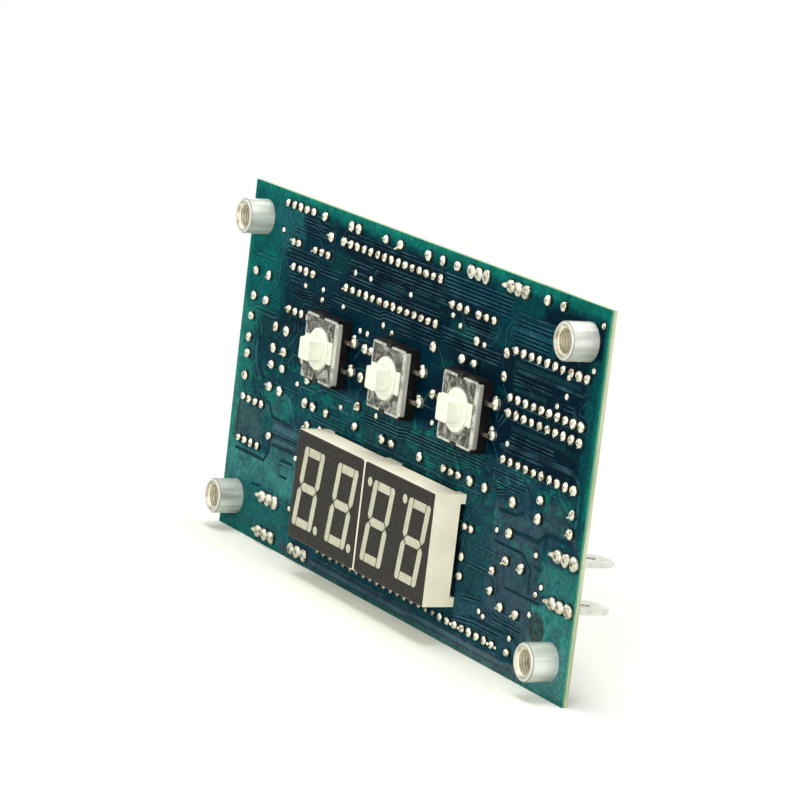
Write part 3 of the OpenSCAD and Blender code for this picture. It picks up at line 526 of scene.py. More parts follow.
PACKAGES = ("controller_package", "driver_packages", "memory_package", "amplifier_package")
dress(Mat("dark_face", srgb(50, 45, 41), 0.5, 0, 0.12).surface(
    (1.2, 4, (29, 25, 21), (43, 38, 33)), (2, 3, 0.42, 0.58), (7, 3, 0.15, 0.03)),
    "left_digit_mask", "right_digit_mask")
dress(Mat("milky_segment", srgb(205, 205, 178), 0.35, 0, 0.3).surface(
    (1.1, 4, (170, 169, 145), (190, 187, 165)), (5, 3, 0.3, 0.5)),
    "left_digit_segments", "right_digit_segments")
dress(Mat("potting_resin", srgb(214, 213, 200), 0.2, 0, 0.5).surface(
    (0.3, 3, (204, 203, 188), (222, 221, 209)), relief=(0.4, 3, 0.3, 0.1)),
    "left_digit_potting", "right_digit_potting")
dress(Mat("package_epoxy", srgb(30, 30, 31), 0.55, 0, 0.3).surface(
    (1.2, 4, (24, 24, 25), (38, 38, 39)), (3, 3, 0.45, 0.62), (6, 4, 0.3, 0.04)),
    *PACKAGES, "transistors", "header_base")
dress(Mat("resistor_lacquer", srgb(196, 164, 118), 0.32, 0, 0.5).surface(
    (0.6, 4, (184, 150, 104), (206, 175, 130)), relief=(1.5, 3, 0.2, 0.05)), "resistor_bodies")
dress(Mat("dipped_coat", srgb(204, 140, 46), 0.22, 0, 0.5).surface(
    (0.5, 4, (188, 124, 36), (216, 154, 60)), relief=(0.9, 3, 0.3, 0.08)), "disc_capacitors")
dress(Mat("can_sleeve_film", srgb(24, 32, 52), 0.25, 0, 0.5).surface(
    (0.4, 3, (20, 27, 46), (30, 40, 62)), (1.5, 3, 0.2, 0.34)), "can_capacitors")
dress(Mat("diode_body", srgb(26, 26, 28), 0.3, 0, 0.5).surface((0.8, 3, (20, 20, 22), (34, 34, 36))), "diodes")
dress(Mat("network_coat", srgb(72, 40, 26), 0.25, 0, 0.5).surface(
    (0.4, 4, (62, 33, 21), (84, 48, 32)), relief=(0.8, 3, 0.25, 0.08)), "network_bodies")
dress(Mat("header_plating", srgb(212, 176, 92), 0.25, 1.0).surface(gloss=(2, 3, 0.18, 0.35)), "header_pins")
# The terminals are darkened all over as painted shade beside the black bases.
dress(Mat("terminal_tin_painted_shade", srgb(90, 84, 70), 0.35, 1.0).surface(
    (1.2, 3, (82, 78, 68), (150, 144, 126)), (2.0, 3, 0.28, 0.5), ends=(0.35, 0.65)), "button_terminals")
sheet = Mat("tab_plating", srgb(238, 238, 232), 0.3, 1.0).surface(
    (0.5, 4, (206, 206, 192), (238, 238, 226)), (1.2, 4, 0.26, 0.45))
dress(sheet, "connection_tabs")
dress(tin, "left_digit_pins", "right_digit_pins", "controller_leads", "driver_leads", "memory_leads",
      "amplifier_leads", "resistor_leads", "disc_capacitor_leads", "can_capacitor_leads", "transistor_leads",
      "diode_leads", "network_leads", "test_pins")

bevel(0.12, "left_digit_housing", "right_digit_housing")
for i in (1, 2, 3):
    bevel(0.15, f"button_{i}_plunger")
    bevel(0.06, f"button_{i}_cover")
bevel(0.15, *PACKAGES)
bevel(0.5, "network_bodies", segments=3)
bevel(0.2, "transistors")
bevel(0.08, "connection_tabs")
bevel(0.05, "circuit_board", segments=1)


# ---------- soldered joints ----------

# Material slots of the solder pieces, and width of the dark ring of painted shade about a joint.
SOLDER, CUT, SHADE_RING, THIN = 0, 1, 2, 3
RING = 0.13


def joint(bm, x, z, r, h, lead, d, face_y, out):
    """A rounded joint with the clipped end of its lead, in a dark ring of painted shade."""
    lean = (rnd.uniform(-0.1, 0.1), rnd.uniform(-0.1, 0.1))
    rl = lead / 2
    at, axis = (x, face_y, z), (0, out, 0)
    # The dark ring of painted shade about the joint.
    lathe(bm, at, axis, [(r + RING, 0.0), (r + RING, 0.02), (r - 0.1, 0.03)], 20, SHADE_RING)
    pts = [(r, 0.0), (r, 0.05), (r * 0.97, 0.14)]
    for k, q in ((0.99, 0.42), (0.98, 0.6), (0.91, 0.76), (0.76, 0.89), (0.55, 0.97), (0.36, 1.0)):
        pts.append((max(r * k, rl * 1.05), h * q))
    lathe(bm, at, axis, pts, 18, SOLDER, 0.08, lean)
    tip = h + d
    lathe(bm, at, axis, [(rl, h * 0.8), (rl, tip - 0.04), (rl * 0.86, tip - 0.02)], 12, SOLDER, 0, lean, (True, False))
    lathe(bm, at, axis, [(rl * 0.87, tip - 0.03), (rl * 0.8, tip)], 12, CUT, 0, lean)


def tail(bm, x, z, angle, length, w0, w1, high, start=0.0):
    """A lead or a run of solder that lies on the front, thick at the joint and thin at its end."""
    a = math.radians(angle)
    d, s = Vector((math.cos(a), 0, math.sin(a))), Vector((-math.sin(a), 0, math.cos(a)))
    steps, rings = 6, []
    for i in range(steps + 1):
        t = i / steps
        wid = (w0 + (w1 - w0) * t) * (1 if i < steps else 0.35)
        hig = high * (1 - 0.35 * t) * (1 if i < steps else 0.4)
        p = Vector((x, 0, z)) + d * (start + length * t)
        arch = [k * math.pi / 6 for k in range(7)]
        rings.append(ring(bm, [p + s * (wid / 2 * math.cos(k)) + Vector((0, -hig * math.sin(k), 0)) for k in arch]))
    skin(bm, rings, mat=THIN)


# Leads that lie bent over: column, row, direction in degrees and length in millimetres.
LONG_LEADS = (
    (20.5, 0.8, 182, 1.6), (22.6, 0.8, 205, 3.0), (26.6, 0.8, 180, 1.6), (19.2, 12.5, 208, 1.6),
    (19.2, 13.9, 200, 1.4), (23.2, 13.9, 200, 1.2), (39.8, 18.8, 205, 1.6), (39.8, 20.1, 182, 1.5),
    (5.8, 12.3, 196, 2.0), (5.8, 13.9, 180, 2.2), (7.5, 11.1, 200, 2.4), (5.8, 9.6, 215, 1.3), (3.8, 6.3, 200, 1.7),
    (3.8, 8.1, 205, 1.2), (12.6, 2.0, 180, 1.9), (12.2, 15.3, 200, 2.6), (11.5, 13.9, 190, 1.5),
    (44.6, 13.1, 200, 1.2), (48.6, 13.1, 205, 2.0), (48.6, 14.3, 200, 1.8), (44.6, 14.3, 205, 1.4),
    (41.3, 17.8, 205, 2.2), (43.3, 17.8, 200, 2.2), (41.3, 20.8, 200, 2.3), (43.3, 20.8, 200, 2.3),
    (6.6, 17.3, 190, 1.6), (28.7, 6.5, 205, 1.5), (34.3, 6.5, 190, 1.6), (29.4, 9.5, 200, 1.3), (10.5, 3.3, 195, 2.4),
    (30.6, 3.3, 180, 1.7), (34.2, 3.3, 180, 1.5), (7.1, 3.3, 178, 2.0), (7.5, 5.0, 190, 2.0), (7.5, 8.0, 185, 2.2),
    (15.6, 2.0, 178, 2.0), (15.6, 5.0, 196, 2.2), (14.6, 2.0, 178, 1.4), (39.4, 4.6, 178, 1.6), (39.4, 8.6, 182, 1.9),
    (16.5, 0.8, 200, 1.0), (42.8, 23.4, 200, 1.2), (1.8, 9.6, 200, 1.0), (1.8, 12.3, 200, 1.2), (20.3, 8.5, 200, 1.8),
    (30.4, 9.5, 195, 1.4), (41.3, 14.0, 215, 1.2),
)
# Node, radius, height and name of the piece that stands for it.
JOINTS = (
    ("circuit_joints", 0.8, 0.72, "solder_circuits"), ("part_joints", 0.95, 0.78, "solder_parts"),
    ("network_joints", 0.78, 0.66, "solder_networks"), ("button_joints", 1.05, 0.85, "solder_buttons"),
    ("tab_joints", 1.2, 0.8, "solder_tabs"), ("digit_joints", 0.72, 0.58, "solder_digits"),
)

for node, r, h, name in JOINTS:
    bm = bmesh.new()
    boxes = islands(node)
    for lo, hi in boxes:
        x, z = middle(lo, hi)
        c, w = col(x), row(z)
        back = lo.y > T / 2
        if node == "tab_joints" and back:
            lathe(bm, (x, T, z), (0, 1, 0), [(1.2, 0), (1.15, 0.1), (0.9, 0.22), (0.4, 0.3)], 18, THIN, 0.05)
            continue
        size, lead, d = rnd.uniform(0.9, 1.08), 0.6, rnd.uniform(0.03, 0.14)
        # The joints under the edge of the digits are small and flat.
        small = node == "network_joints" and c < 33
        rad = (hi.x - lo.x) / 2 if node in ("part_joints", "circuit_joints") else 0.54 if small else r
        high = h * rnd.uniform(0.92, 1.08) * (0.7 if small else 1)
        if node == "tab_joints":
            size, lead = rnd.uniform(0.98, 1.03), 0.9
            if hi.y - lo.y < 0.9:
                d, high = 0.02, 0.62
            elif not any(0 < x - a < 3 and abs(z - b) < 0.5 for a, b in (middle(*box) for box in boxes)):
                tail(bm, x, z, 184, 2.9, 1.5, 0.5, 0.55, 0.5)
        if node == "button_joints":
            tail(bm, x - 0.1, z - 0.1, 186, 1.0, 1.5, 1.0, 0.9, 0.3)
            lathe(bm, (x - 0.85, 0, z + 0.85), (0, -1, 0), [(0.62, 0), (0.56, 0.3), (0.3, 0.46)], 12, THIN, 0.12)
            lead, d = 0.7, 0.25
            z += 0.15
        fit = 0.98 if node == "tab_joints" else 0.91
        joint(bm, x, z, rad * size * fit, high, lead, d, *((T, 1) if back else (0.0, -1)))
        if back:
            continue
        for lc, lw, angle, length in LONG_LEADS:
            if abs(c - lc) < 0.25 and abs(w - lw) < 0.25:
                tail(bm, x, z, angle, length * 0.8, 0.6, 0.36, 0.4, rad * 0.7)
        if node == "circuit_joints" and c > 38 or node == "part_joints" and c > 47.2 and w < 12:
            tail(bm, x, z, 222, 0.8, 0.36, 0.22, 0.24, rad * 0.9)
        if node == "network_joints" and c > 34:
            tail(bm, x, z, 205 if rnd.random() < 0.5 else 335, 0.5, 0.5, 0.3, 0.3, rad * 0.8)
    main = {"tab_joints": solder_wide, "button_joints": solder_thin}.get(node, solder)
    piece(name, bm, [main, cut, shade_ring, solder_thin], replaces=[node])

# Small filled holes between the joints.
HOLES = ((9.4, 6.0), (12.1, 5.8), (12.1, 6.5), (16.5, 3.8), (18.8, 3.8), (24.6, 3.8), (15.3, 6.4), (21.3, 6.5),
         (22.6, 6.8), (18.1, 7.5), (19.2, 7.5), (30.6, 4.0), (31.7, 4.5), (35.1, 5.1), (49.3, 1.1), (48.8, 4.0),
         (46, 5.0), (46, 6.2), (45, 7), (39.5, 10.6), (29.5, 11.4), (9.8, 12.9), (16.6, 13.1), (21.8, 12.6),
         (10.8, 18.0), (10.7, 21.6), (39.5, 16.2), (44.7, 16.6), (45.8, 18.4), (45.2, 19), (44.8, 20.4), (38.5, 21.8),
         (39.1, 22), (42.7, 22.5), (5.1, 2.8))
bm = bmesh.new()
for c, w in HOLES:
    x, z = at_grid(c, w)
    for y, out in ((0.0, -1), (T, 1)):
        # A dark ring of painted shade about each hole, then the solder.
        lathe(bm, (x, y, z), (0, out, 0), [(0.78, -0.04), (0.78, 0.02), (0.4, 0.03)], 16, 1)
        lathe(bm, (x, y, z), (0, out, 0), [(0.5, -0.04), (0.5, 0.1), (0.42, 0.2), (0.2, 0.28)], 14, 0, 0.05)
piece("filled_holes", bm, [solder_thin, shade_ring])


# ---------- tracks under the mask ----------

# The search for a line goes over a grid of four steps to the lead spacing.
STEP = PITCH / 4
GX, GZ = round(W / STEP), round(H / STEP)
# Cells kept free along the edge of the board, and radius kept free about a standoff in millimetres.
MARGIN, STANDOFF_CLEAR = 4, 4.2
# Cost of a diagonal step, a bend and a step across the grain, pull of the goal, and most cells looked at.
DIAGONAL, TURN, ACROSS, HASTE, MOST_STEPS = 1.414, 0.6, 0.9, 1.05, 9000
MOVES = ((1, 0), (1, 1), (0, 1), (-1, 1), (-1, 0), (-1, -1), (0, -1), (1, -1))
# Height of a track over the board, and depth of what reaches into it.
HIGH, DEPTH = 0.045, 0.01
# Material slots of the track pieces.
TRACK, FLANK_SHADE, AREA, TRENCH = 0, 1, 2, 3


def cell(x, z):
    return round((x + W / 2) / STEP), round((H / 2 - z) / STEP)


def place(i, k):
    return i * STEP - W / 2, H / 2 - k * STEP


def corner(pts, i):
    """Normal of a line at one of its points, and the cosine of half the turn there."""
    p = Vector(pts[i])
    d1 = (p - Vector(pts[i - 1])).normalized() if i else None
    d2 = (Vector(pts[i + 1]) - p).normalized() if i < len(pts) - 1 else None
    d1, d2 = d1 or d2, d2 or d1
    d = (d1 + d2).normalized()
    n = Vector((-d.y, d.x))
    return n, max(0.5, n.dot(Vector((-d1.y, d1.x))))


def ribbon(bm, pts, width, face_y, out, mats=(FLANK_SHADE, TRACK, FLANK_SHADE, FLANK_SHADE), high=HIGH, slope=0.06):
    """A flat raised line through points in millimetres, with a material for each of four sides."""
    w, low = width / 2, -out * DEPTH
    rings = []
    for i, p in enumerate(pts):
        p = Vector(p)
        n, fit = corner(pts, i)
        k = 1 / fit
        rings.append(ring(bm, [(p.x + n.x * k * s, face_y + y, p.y + n.y * k * s) for s, y in (
            (-w - slope, low), (-w, out * high), (w, out * high), (w + slope, low))]))
    skin(bm, rings, mat=mats)


def line(bm, pts, width, wider, face_y, out):
    """A track on a wider and lower dark border of painted shade."""
    ribbon(bm, pts, width, face_y, out)
    ribbon(bm, pts, wider, face_y, out, (FLANK_SHADE,) * 4, 0.011, 0.01)


def shifted(pts, off):
    """The same line moved sideways, with its corners kept parallel."""
    out = []
    for i, p in enumerate(pts):
        n, fit = corner(pts, i)
        out.append(Vector(p) + n * (off / fit))
    return out


# X, Z and radius of all joints.
PADS = sorted({(*middle(lo, hi), (hi.x - lo.x) / 2) for node, *_ in JOINTS for lo, hi in islands(node)})

# Bundles that the front shows: points in columns and rows, number of lines, spacing and width in millimetres.
BUNDLES = (
    (((28.9, 1.5), (38.1, 1.5)), 6, 0.64, 0.32),
    (((32.6, 3.85), (36.2, 3.85)), 3, 0.6, 0.3),
    (((38.9, 2.62), (43.4, 2.62)), 7, 0.64, 0.32),
    (((39.6, 5.82), (47.8, 5.78), (48.4, 5.5)), 1, 0.6, 0.62),
    (((39.3, 6.22), (44.2, 6.22)), 2, 0.62, 0.34),
    (((39.2, 6.72), (41.4, 6.62), (41.9, 7.0)), 1, 0.62, 0.34),
    (((39.6, 9.86), (45.6, 9.86)), 3, 0.62, 0.34),
    (((38.6, 10.9), (40.2, 10.68), (47.9, 10.62), (48.5, 10.85), (48.9, 11.5), (49.0, 13.2), (48.9, 13.9)),
     1, 0.6, 0.95),
    (((39.2, 11.08), (42.8, 11.02), (44.4, 10.98)), 1, 0.6, 0.45),
    (((29.4, 5.35), (37.3, 5.3)), 4, 0.62, 0.32),
    (((18.6, 2.62), (29.5, 2.58)), 4, 0.62, 0.3),
    (((15.4, 3.05), (19.0, 3.05), (19.5, 3.3), (23.7, 3.3)), 2, 0.62, 0.3),
    (((15.3, 4.15), (23.2, 4.15), (23.6, 4.3), (28.9, 4.28)), 2, 0.6, 0.3),
    (((13.4, 5.75), (20.6, 5.72), (21.2, 5.5), (29.0, 5.5)), 3, 0.6, 0.32),
    (((23.4, 6.3), (28.0, 6.3)), 2, 0.62, 0.32),
    (((7.2, 6.35), (9.0, 6.45), (10.4, 6.3), (11.5, 6.5), (13.6, 6.45)), 4, 0.5, 0.26),
    (((6.2, 4.05), (10.6, 4.05), (11.4, 4.25), (14.6, 4.2)), 3, 0.64, 0.32),
    (((8.2, 1.35), (10.3, 1.35), (10.8, 1.6), (11.7, 1.6)), 3, 0.6, 0.3),
    (((20.0, 12.75), (25.0, 12.7), (26.2, 12.55), (33.6, 12.5)), 4, 0.56, 0.28),
    (((33.6, 12.45), (36.7, 12.45), (37.5, 12.75), (38.3, 13.45), (38.9, 13.6), (39.9, 13.4)), 3, 0.5, 0.24),
    (((36.2, 12.2), (37.2, 12.2), (37.9, 12.6), (38.7, 13.2), (42.2, 13.2)), 2, 0.5, 0.24),
    (((38.3, 12.45), (42.4, 12.45)), 2, 0.56, 0.28),
    (((34.3, 13.4), (34.8, 13.15), (35.6, 13.1), (36.2, 13.4), (36.5, 13.9)), 1, 0.5, 0.24),
    (((15.2, 13.4), (18.0, 13.4)), 1, 0.6, 0.4),
    (((10.4, 12.95), (12.6, 12.9), (13.6, 12.5), (18.0, 12.45)), 1, 0.6, 0.5),
    (((20.6, 14.55), (30.8, 14.5), (31.6, 14.6), (34.0, 14.6)), 1, 0.6, 0.5),
    (((1.3, 5.12), (4.6, 5.08)), 1, 0.6, 0.4),
    (((2.2, 9.1), (5.0, 9.12), (5.6, 9.0)), 1, 0.6, 0.42),
    (((2.2, 9.45), (2.8, 9.6), (3.3, 10.1), (3.45, 10.7)), 1, 0.6, 0.45),
    (((2.9, 10.6), (2.95, 12.3), (3.3, 13.0), (4.1, 13.75), (4.7, 14.0)), 1, 0.6, 0.85),
    (((7.2, 14.35), (8.4, 14.1), (9.0, 14.4), (9.6, 15.3), (10.1, 15.75), (10.6, 15.9)), 1, 0.6, 1.1),
    (((6.9, 16.5), (10.7, 16.5)), 1, 0.6, 1.3),
    (((6.9, 17.5), (10.7, 17.42)), 1, 0.6, 0.75),
    (((8.4, 19.9), (8.4, 18.8), (10.6, 18.8)), 1, 0.6, 0.4),
    (((35.2, 22.9), (38.0, 22.6), (41.8, 22.6)), 2, 0.6, 0.32),
    (((36.4, 21.2), (38.4, 21.0), (40.4, 21.7), (44.0, 21.7)), 2, 0.64, 0.34),
    (((14.6, 24.45), (29.0, 24.45), (29.6, 24.3), (42.4, 24.3)), 1, 0.6, 0.9),
)

# Gaps that show dark between the large areas of copper.
GAPS = (
    (1.2, ((3.45, 9.6), (3.5, 12.3), (3.9, 13.1), (4.6, 13.7))),
    (0.5, ((5.2, 15.05), (5.9, 15.1), (6.5, 15.9), (8.8, 16.02), (10.7, 15.95))),
    (0.42, ((6.9, 17.12), (10.7, 17.02))), (0.42, ((6.9, 17.85), (10.7, 17.78))),
    (0.6, ((1.3, 19.2), (5.9, 19.2), (6.5, 18.5), (6.55, 17.7))), (0.4, ((1.2, 18.0), (1.2, 15.9))),
    (0.8, ((41.5, 15.8), (44.8, 15.72), (45.4, 15.2), (46.0, 15.0), (48.8, 14.95))),
    (0.7, ((39.4, 14.82), (41.7, 14.75), (42.6, 14.35))), (0.6, ((38.4, 13.75), (39.4, 13.95), (40.4, 13.9))),
    (0.45, ((41.3, 19.5), (45.9, 19.5))), (0.42, ((44.6, 17.3), (45.6, 17.4))), (0.5, ((8.6, 18.6), (10.4, 18.55))),
    (0.5, ((8.6, 19.7), (9.8, 19.7))), (0.42, ((37.2, 22.4), (43.4, 22.3))), (0.42, ((4.4, 21.2), (5.9, 21.05))),
    (0.9, ((39.2, 5.45), (47.6, 5.4))), (0.7, ((39.4, 7.05), (43.6, 7.0))), (0.8, ((39.6, 9.5), (46.6, 9.45))),
    (0.6, ((30.0, 13.05), (33.6, 13.05), (34.1, 13.6))), (0.6, ((42.6, 12.6), (43.4, 13.4), (43.5, 14.6))),
    (0.5, ((20.4, 3.9), (28.6, 3.85))), (0.7, ((15.2, 5.3), (20.4, 5.3))),
    (0.5, ((9.4, 7.9), (12.6, 8.9), (12.8, 12.0))), (0.6, ((5.0, 9.8), (5.0, 12.9))),
    (0.5, ((39.4, 16.9), (43.0, 16.9), (44.2, 17.6), (44.3, 19.2))), (0.5, ((40.2, 21.4), (44.6, 22.9))),
)

# Large areas of covered copper, in columns and rows.
POURS = (
    ((1.3, 15.9), (5.0, 15.9), (5.9, 16.4), (6.2, 17.0), (5.9, 17.9), (1.3, 18.1)),
    ((39.2, 14.95), (41.8, 14.9), (42.8, 14.5), (43.3, 14.7), (43.3, 15.6), (41.3, 15.65), (40.2, 16.0),
        (39.3, 15.9)),
    ((45.0, 13.2), (47.3, 13.1), (47.5, 14.6), (46.0, 14.8), (45.2, 14.6)),
    ((41.6, 16.0), (44.9, 15.95), (45.6, 15.3), (49.1, 15.15), (49.1, 15.4), (45.9, 15.6), (45.2, 16.3),
        (43.6, 17.2), (41.6, 17.1)),
    ((40.3, 18.2), (44.4, 18.3), (44.4, 19.3), (40.4, 19.35)),
    ((41.3, 19.7), (44.2, 19.7), (44.2, 20.1), (42.4, 20.4), (41.5, 20.2)),
    ((36.6, 19.6), (38.7, 19.6), (38.7, 20.8), (36.9, 20.9)),
    ((35.2, 24.15), (42.6, 24.15), (42.6, 24.75), (15.0, 24.75), (15.0, 24.3), (35.0, 24.3)),
    ((46.2, 16.9), (49.5, 16.9), (49.5, 18.3), (46.4, 18.3)),
    ((46.6, 19.8), (49.5, 19.8), (49.5, 21.2), (47.2, 21.2), (46.6, 20.6)),
    ((2.6, 19.5), (7.9, 19.5), (7.9, 20.9), (4.4, 20.9), (2.6, 20.6)),
    ((5.2, 22.3), (9.8, 22.3), (9.8, 23.4), (5.2, 23.4)),
    ((5.6, 14.5), (7.0, 14.6), (8.3, 14.4), (9.0, 15.5), (8.9, 15.8), (6.8, 15.8), (6.2, 15.0)),
)


def pour(bm, outline, face_y, out, clear=0.35):
    """A flat raised area with round clearings about the joints."""
    outer = [at_grid(*p) for p in outline]
    verts, faces = [Vector(p) for p in outer], [list(range(len(outer)))]
    xs, zs = [p[0] for p in outer], [p[1] for p in outer]
    for x, z, rad in PADS:
        rr = rad + clear
        if min(xs) - rr < x < max(xs) + rr and min(zs) - rr < z < max(zs) + rr:
            n = len(verts)
            turns = [i * math.pi / 10 for i in range(20)]
            verts += [Vector((x + rr * math.cos(a), z + rr * math.sin(a))) for a in turns]
            faces.append(list(range(n, n + 20)))
    got = delaunay_2d_cdt(verts, [], faces, 1, 1e-4)
    vs, fs, orig = got[0], got[2], got[5]
    # Faces that come from the outline alone, and from no clearing.
    keep = [f for f, o in zip(fs, orig) if set(o) == {0}]
    lift, low = {}, {}
    for f in keep:
        for i in f:
            if i not in lift:
                lift[i] = bm.verts.new((vs[i].x, face_y + out * HIGH, vs[i].y))
        bm.faces.new([lift[i] for i in f]).material_index = AREA
    sides = [e for f in keep for e in zip(f, f[1:] + f[:1])]
    count = Counter(map(frozenset, sides))
    for a, b in sides:
        if count[frozenset((a, b))] == 1:
            for i in (a, b):
                if i not in low:
                    low[i] = bm.verts.new((vs[i].x, face_y - out * DEPTH, vs[i].y))
            bm.faces.new((lift[a], lift[b], low[b], low[a])).material_index = FLANK_SHADE


def around(i, k, reach):
    """Cells of a square about a cell."""
    return [(i + di, k + dk) for di in range(-reach, reach + 1) for dk in range(-reach, reach + 1)]


def route(seed, face_y, out, name, nets_wanted, upright, bundles, gaps, pours):
    """All tracks of one face: given bundles, gaps and areas, then lines between random joints."""
    r = random.Random(seed)
    pads = [(*cell(x, z), rad) for x, z, rad in PADS]
    # Joint that a cell belongs to, or -1 where joints meet.
    owner = {}
    for a, (i, k, rad) in enumerate(pads):
        for at in around(i, k, math.ceil((rad + 0.25) / STEP)):
            if math.hypot(at[0] - i, at[1] - k) * STEP <= rad + 0.3:
                owner[at] = a if at not in owner else -1
    # Cells under the standoffs.
    solid = set()
    for sx in (-1, 1):
        for sz in (-1, 1):
            i, k = cell(sx * STANDOFF_X, sz * STANDOFF_Z)
            solid |= {at for at in around(i, k, 7) if math.hypot(at[0] - i, at[1] - k) * STEP < STANDOFF_CLEAR}
    used = set()

    def claim(pts, wide):
        for p, q in zip(pts, pts[1:]):
            p, q = Vector(p), Vector(q)
            far = (q - p).length
            for t in range(int(far / 0.2) + 1):
                s = p.lerp(q, min(1, t * 0.2 / max(0.01, far)))
                used.update(around(*cell(s.x, s.y), int(wide / 2 / STEP + 0.6)))

    bm = bmesh.new()
    for pts, n, gap, width in bundles:
        pts = [at_grid(*p) for p in pts]
        for j in range(n):
            way = shifted(pts, -j * gap)
            if n > 1:
                way[0] = way[0] + (way[1] - way[0]).normalized() * r.uniform(-0.8, 0.8)
                way[-1] = way[-1] + (way[-2] - way[-1]).normalized() * r.uniform(-0.8, 0.8)
            line(bm, way, width, width + 0.4, face_y, out)
            claim(way, width)
    for width, pts in gaps:
        pts = [at_grid(*p) for p in pts]
        ribbon(bm, pts, width, face_y, out, (TRENCH,) * 4, 0.012, 0.02)
        claim(pts, width)
    for pts in pours:
        pour(bm, pts, face_y, out)
        mm = [at_grid(*p) for p in pts]
        i0, k0 = cell(min(p[0] for p in mm), max(p[1] for p in mm))
        i1, k1 = cell(max(p[0] for p in mm), min(p[1] for p in mm))
        used.update((i, k) for i in range(i0, i1 + 1) for k in range(k0, k1 + 1))

    def find(a, b):
        """Cells of a way from joint a to joint b, or None."""
        start, goal = pads[a][:2], pads[b][:2]
        best, came, count = {}, {}, 0
        heap = [(0, 0, start, None, None)]
        while heap:
            _, g, at, way, last = heapq.heappop(heap)
            if (at, way) in came:
                continue
            came[(at, way)] = last
            count += 1
            if count > MOST_STEPS:
                return None
            if at == goal:
                path, key = [at], (at, way)
                while came[key] is not None:
                    key = came[key]
                    path.append(key[0])
                return path[::-1]
            for w, (di, dk) in enumerate(MOVES):
                if way is not None and (w - way) % 8 not in (0, 1, 7):
                    continue
                to = (at[0] + di, at[1] + dk)
                if not (MARGIN <= to[0] <= GX - MARGIN and MARGIN <= to[1] <= GZ - MARGIN) or to in solid:
                    continue
                own = owner.get(to)
                if own not in (None, a, b) or to in used and own not in (a, b):
                    continue
                if di and dk and (at[0] + di, at[1]) in used and (at[0], at[1] + dk) in used:
                    continue
                cost = g + (DIAGONAL if di and dk else 1) + (TURN if way is not None and w != way else 0)
                cost += ACROSS if (di if upright else dk) else 0
                if (to, w) in came or best.get((to, w), 1e9) <= cost:
                    continue
                best[(to, w)] = cost
                far_i, far_k = abs(to[0] - goal[0]), abs(to[1] - goal[1])
                rest = max(far_i, far_k) + 0.414 * min(far_i, far_k)
                heapq.heappush(heap, (cost + rest * HASTE, cost, to, w, (at, way)))
        return None

    done = tries = 0
    while done < nets_wanted and tries < nets_wanted * 3:
        tries += 1
        a = r.randrange(len(pads))
        reach = r.choice((12, 20, 34, 60, 90))
        i, k = pads[a][:2]
        # Joints further along the grain of this face count as near too.
        ki, kk = (2.2, 1) if upright else (1, 2.2)
        near = [b for b, p in enumerate(pads) if b != a and 8 < ki * abs(i - p[0]) + kk * abs(k - p[1]) < reach]
        path = find(a, r.choice(near)) if near else None
        if not path:
            continue
        done += 1
        used.update(c for c in path if owner.get(c) is None)
        bends = [c for p, c, n in zip(path, path[1:], path[2:])
                 if (c[0] - p[0], c[1] - p[1]) != (n[0] - c[0], n[1] - c[1])]
        line(bm, [place(*c) for c in (path[0], *bends, path[-1])], 0.32, 0.62, face_y, out)
    piece(name, bm, [track, flank_shade, area, trench], smooth=False)


# The same for the back, which has fewer of them and mostly upright lines.
BACK_BUNDLES = (
    (((31.0, 2.6), (31.0, 5.6), (30.2, 6.4), (30.2, 13.2)), 4, 0.64, 0.32),
    (((47.2, 2.2), (47.2, 11.6)), 2, 0.64, 0.4),
    (((37.2, 6.0), (37.2, 12.4), (36.6, 13.0)), 3, 0.64, 0.32),
    (((14.0, 7.0), (14.0, 12.6)), 4, 0.64, 0.32),
    (((21.0, 6.2), (21.0, 8.0), (21.8, 8.8), (21.8, 13.2)), 5, 0.64, 0.32),
)
BACK_GAPS = ((0.5, ((12.0, 17.2), (33.4, 17.2))), (0.5, ((12.0, 21.4), (33.4, 21.4))))
BACK_POURS = (
    ((12.4, 17.6), (33.0, 17.6), (33.0, 21.0), (12.4, 21.0)),
    ((1.4, 19.4), (5.4, 19.4), (5.4, 21.0), (1.4, 21.0)),
    ((46.2, 16.9), (49.4, 16.9), (49.4, 18.3), (46.2, 18.3)),
)
route(11, 0.0, -1, "front_tracks", 130, False, BUNDLES, GAPS, POURS)
route(23, T, 1, "back_tracks", 140, True, BACK_BUNDLES, BACK_GAPS, BACK_POURS)


# ---------- other pieces ----------

# Ivory strips on each cover at both sides of the collar, a painted reflection of the plunger's stem: round inside,
# straight outside.
cover_y = min(v.co.y for v in NODE["button_1_cover"].data.vertices) / MM
STEM_REFLECTION_MIDDLE = 4.5
outline = [(3.85 * math.cos(math.radians(a)), 3.85 * math.sin(math.radians(a))) for a in range(-30, 31, 6)]
outline += [(5.0, 1.95), (5.15, 1.8), (5.15, -1.8), (5.0, -1.95)]
bm = bmesh.new()
for c in BUTTON_COLUMNS:
    x, z = at_grid(c, BUTTON_ROW)
    for side in (-1, 1):
        skin(bm, [ring(bm, [(x + side * (STEM_REFLECTION_MIDDLE + (px - STEM_REFLECTION_MIDDLE) * k), y, z + pz * k) for px, pz in outline])
                  for y, k in ((cover_y + 0.06, 1.0), (cover_y - 0.16, 1.0), (cover_y - 0.2, 0.96))])
piece("painted_stem_reflections", bm, [ivory], smooth=False)


def hoop(bm, at, axis, r, width, n, mat=0):
    """A thin band of paint round a body of radius r."""
    lathe(bm, at, axis, [(r - 0.1, 0), (r + 0.02, 0), (r + 0.02, width), (r - 0.1, width)], n, mat)


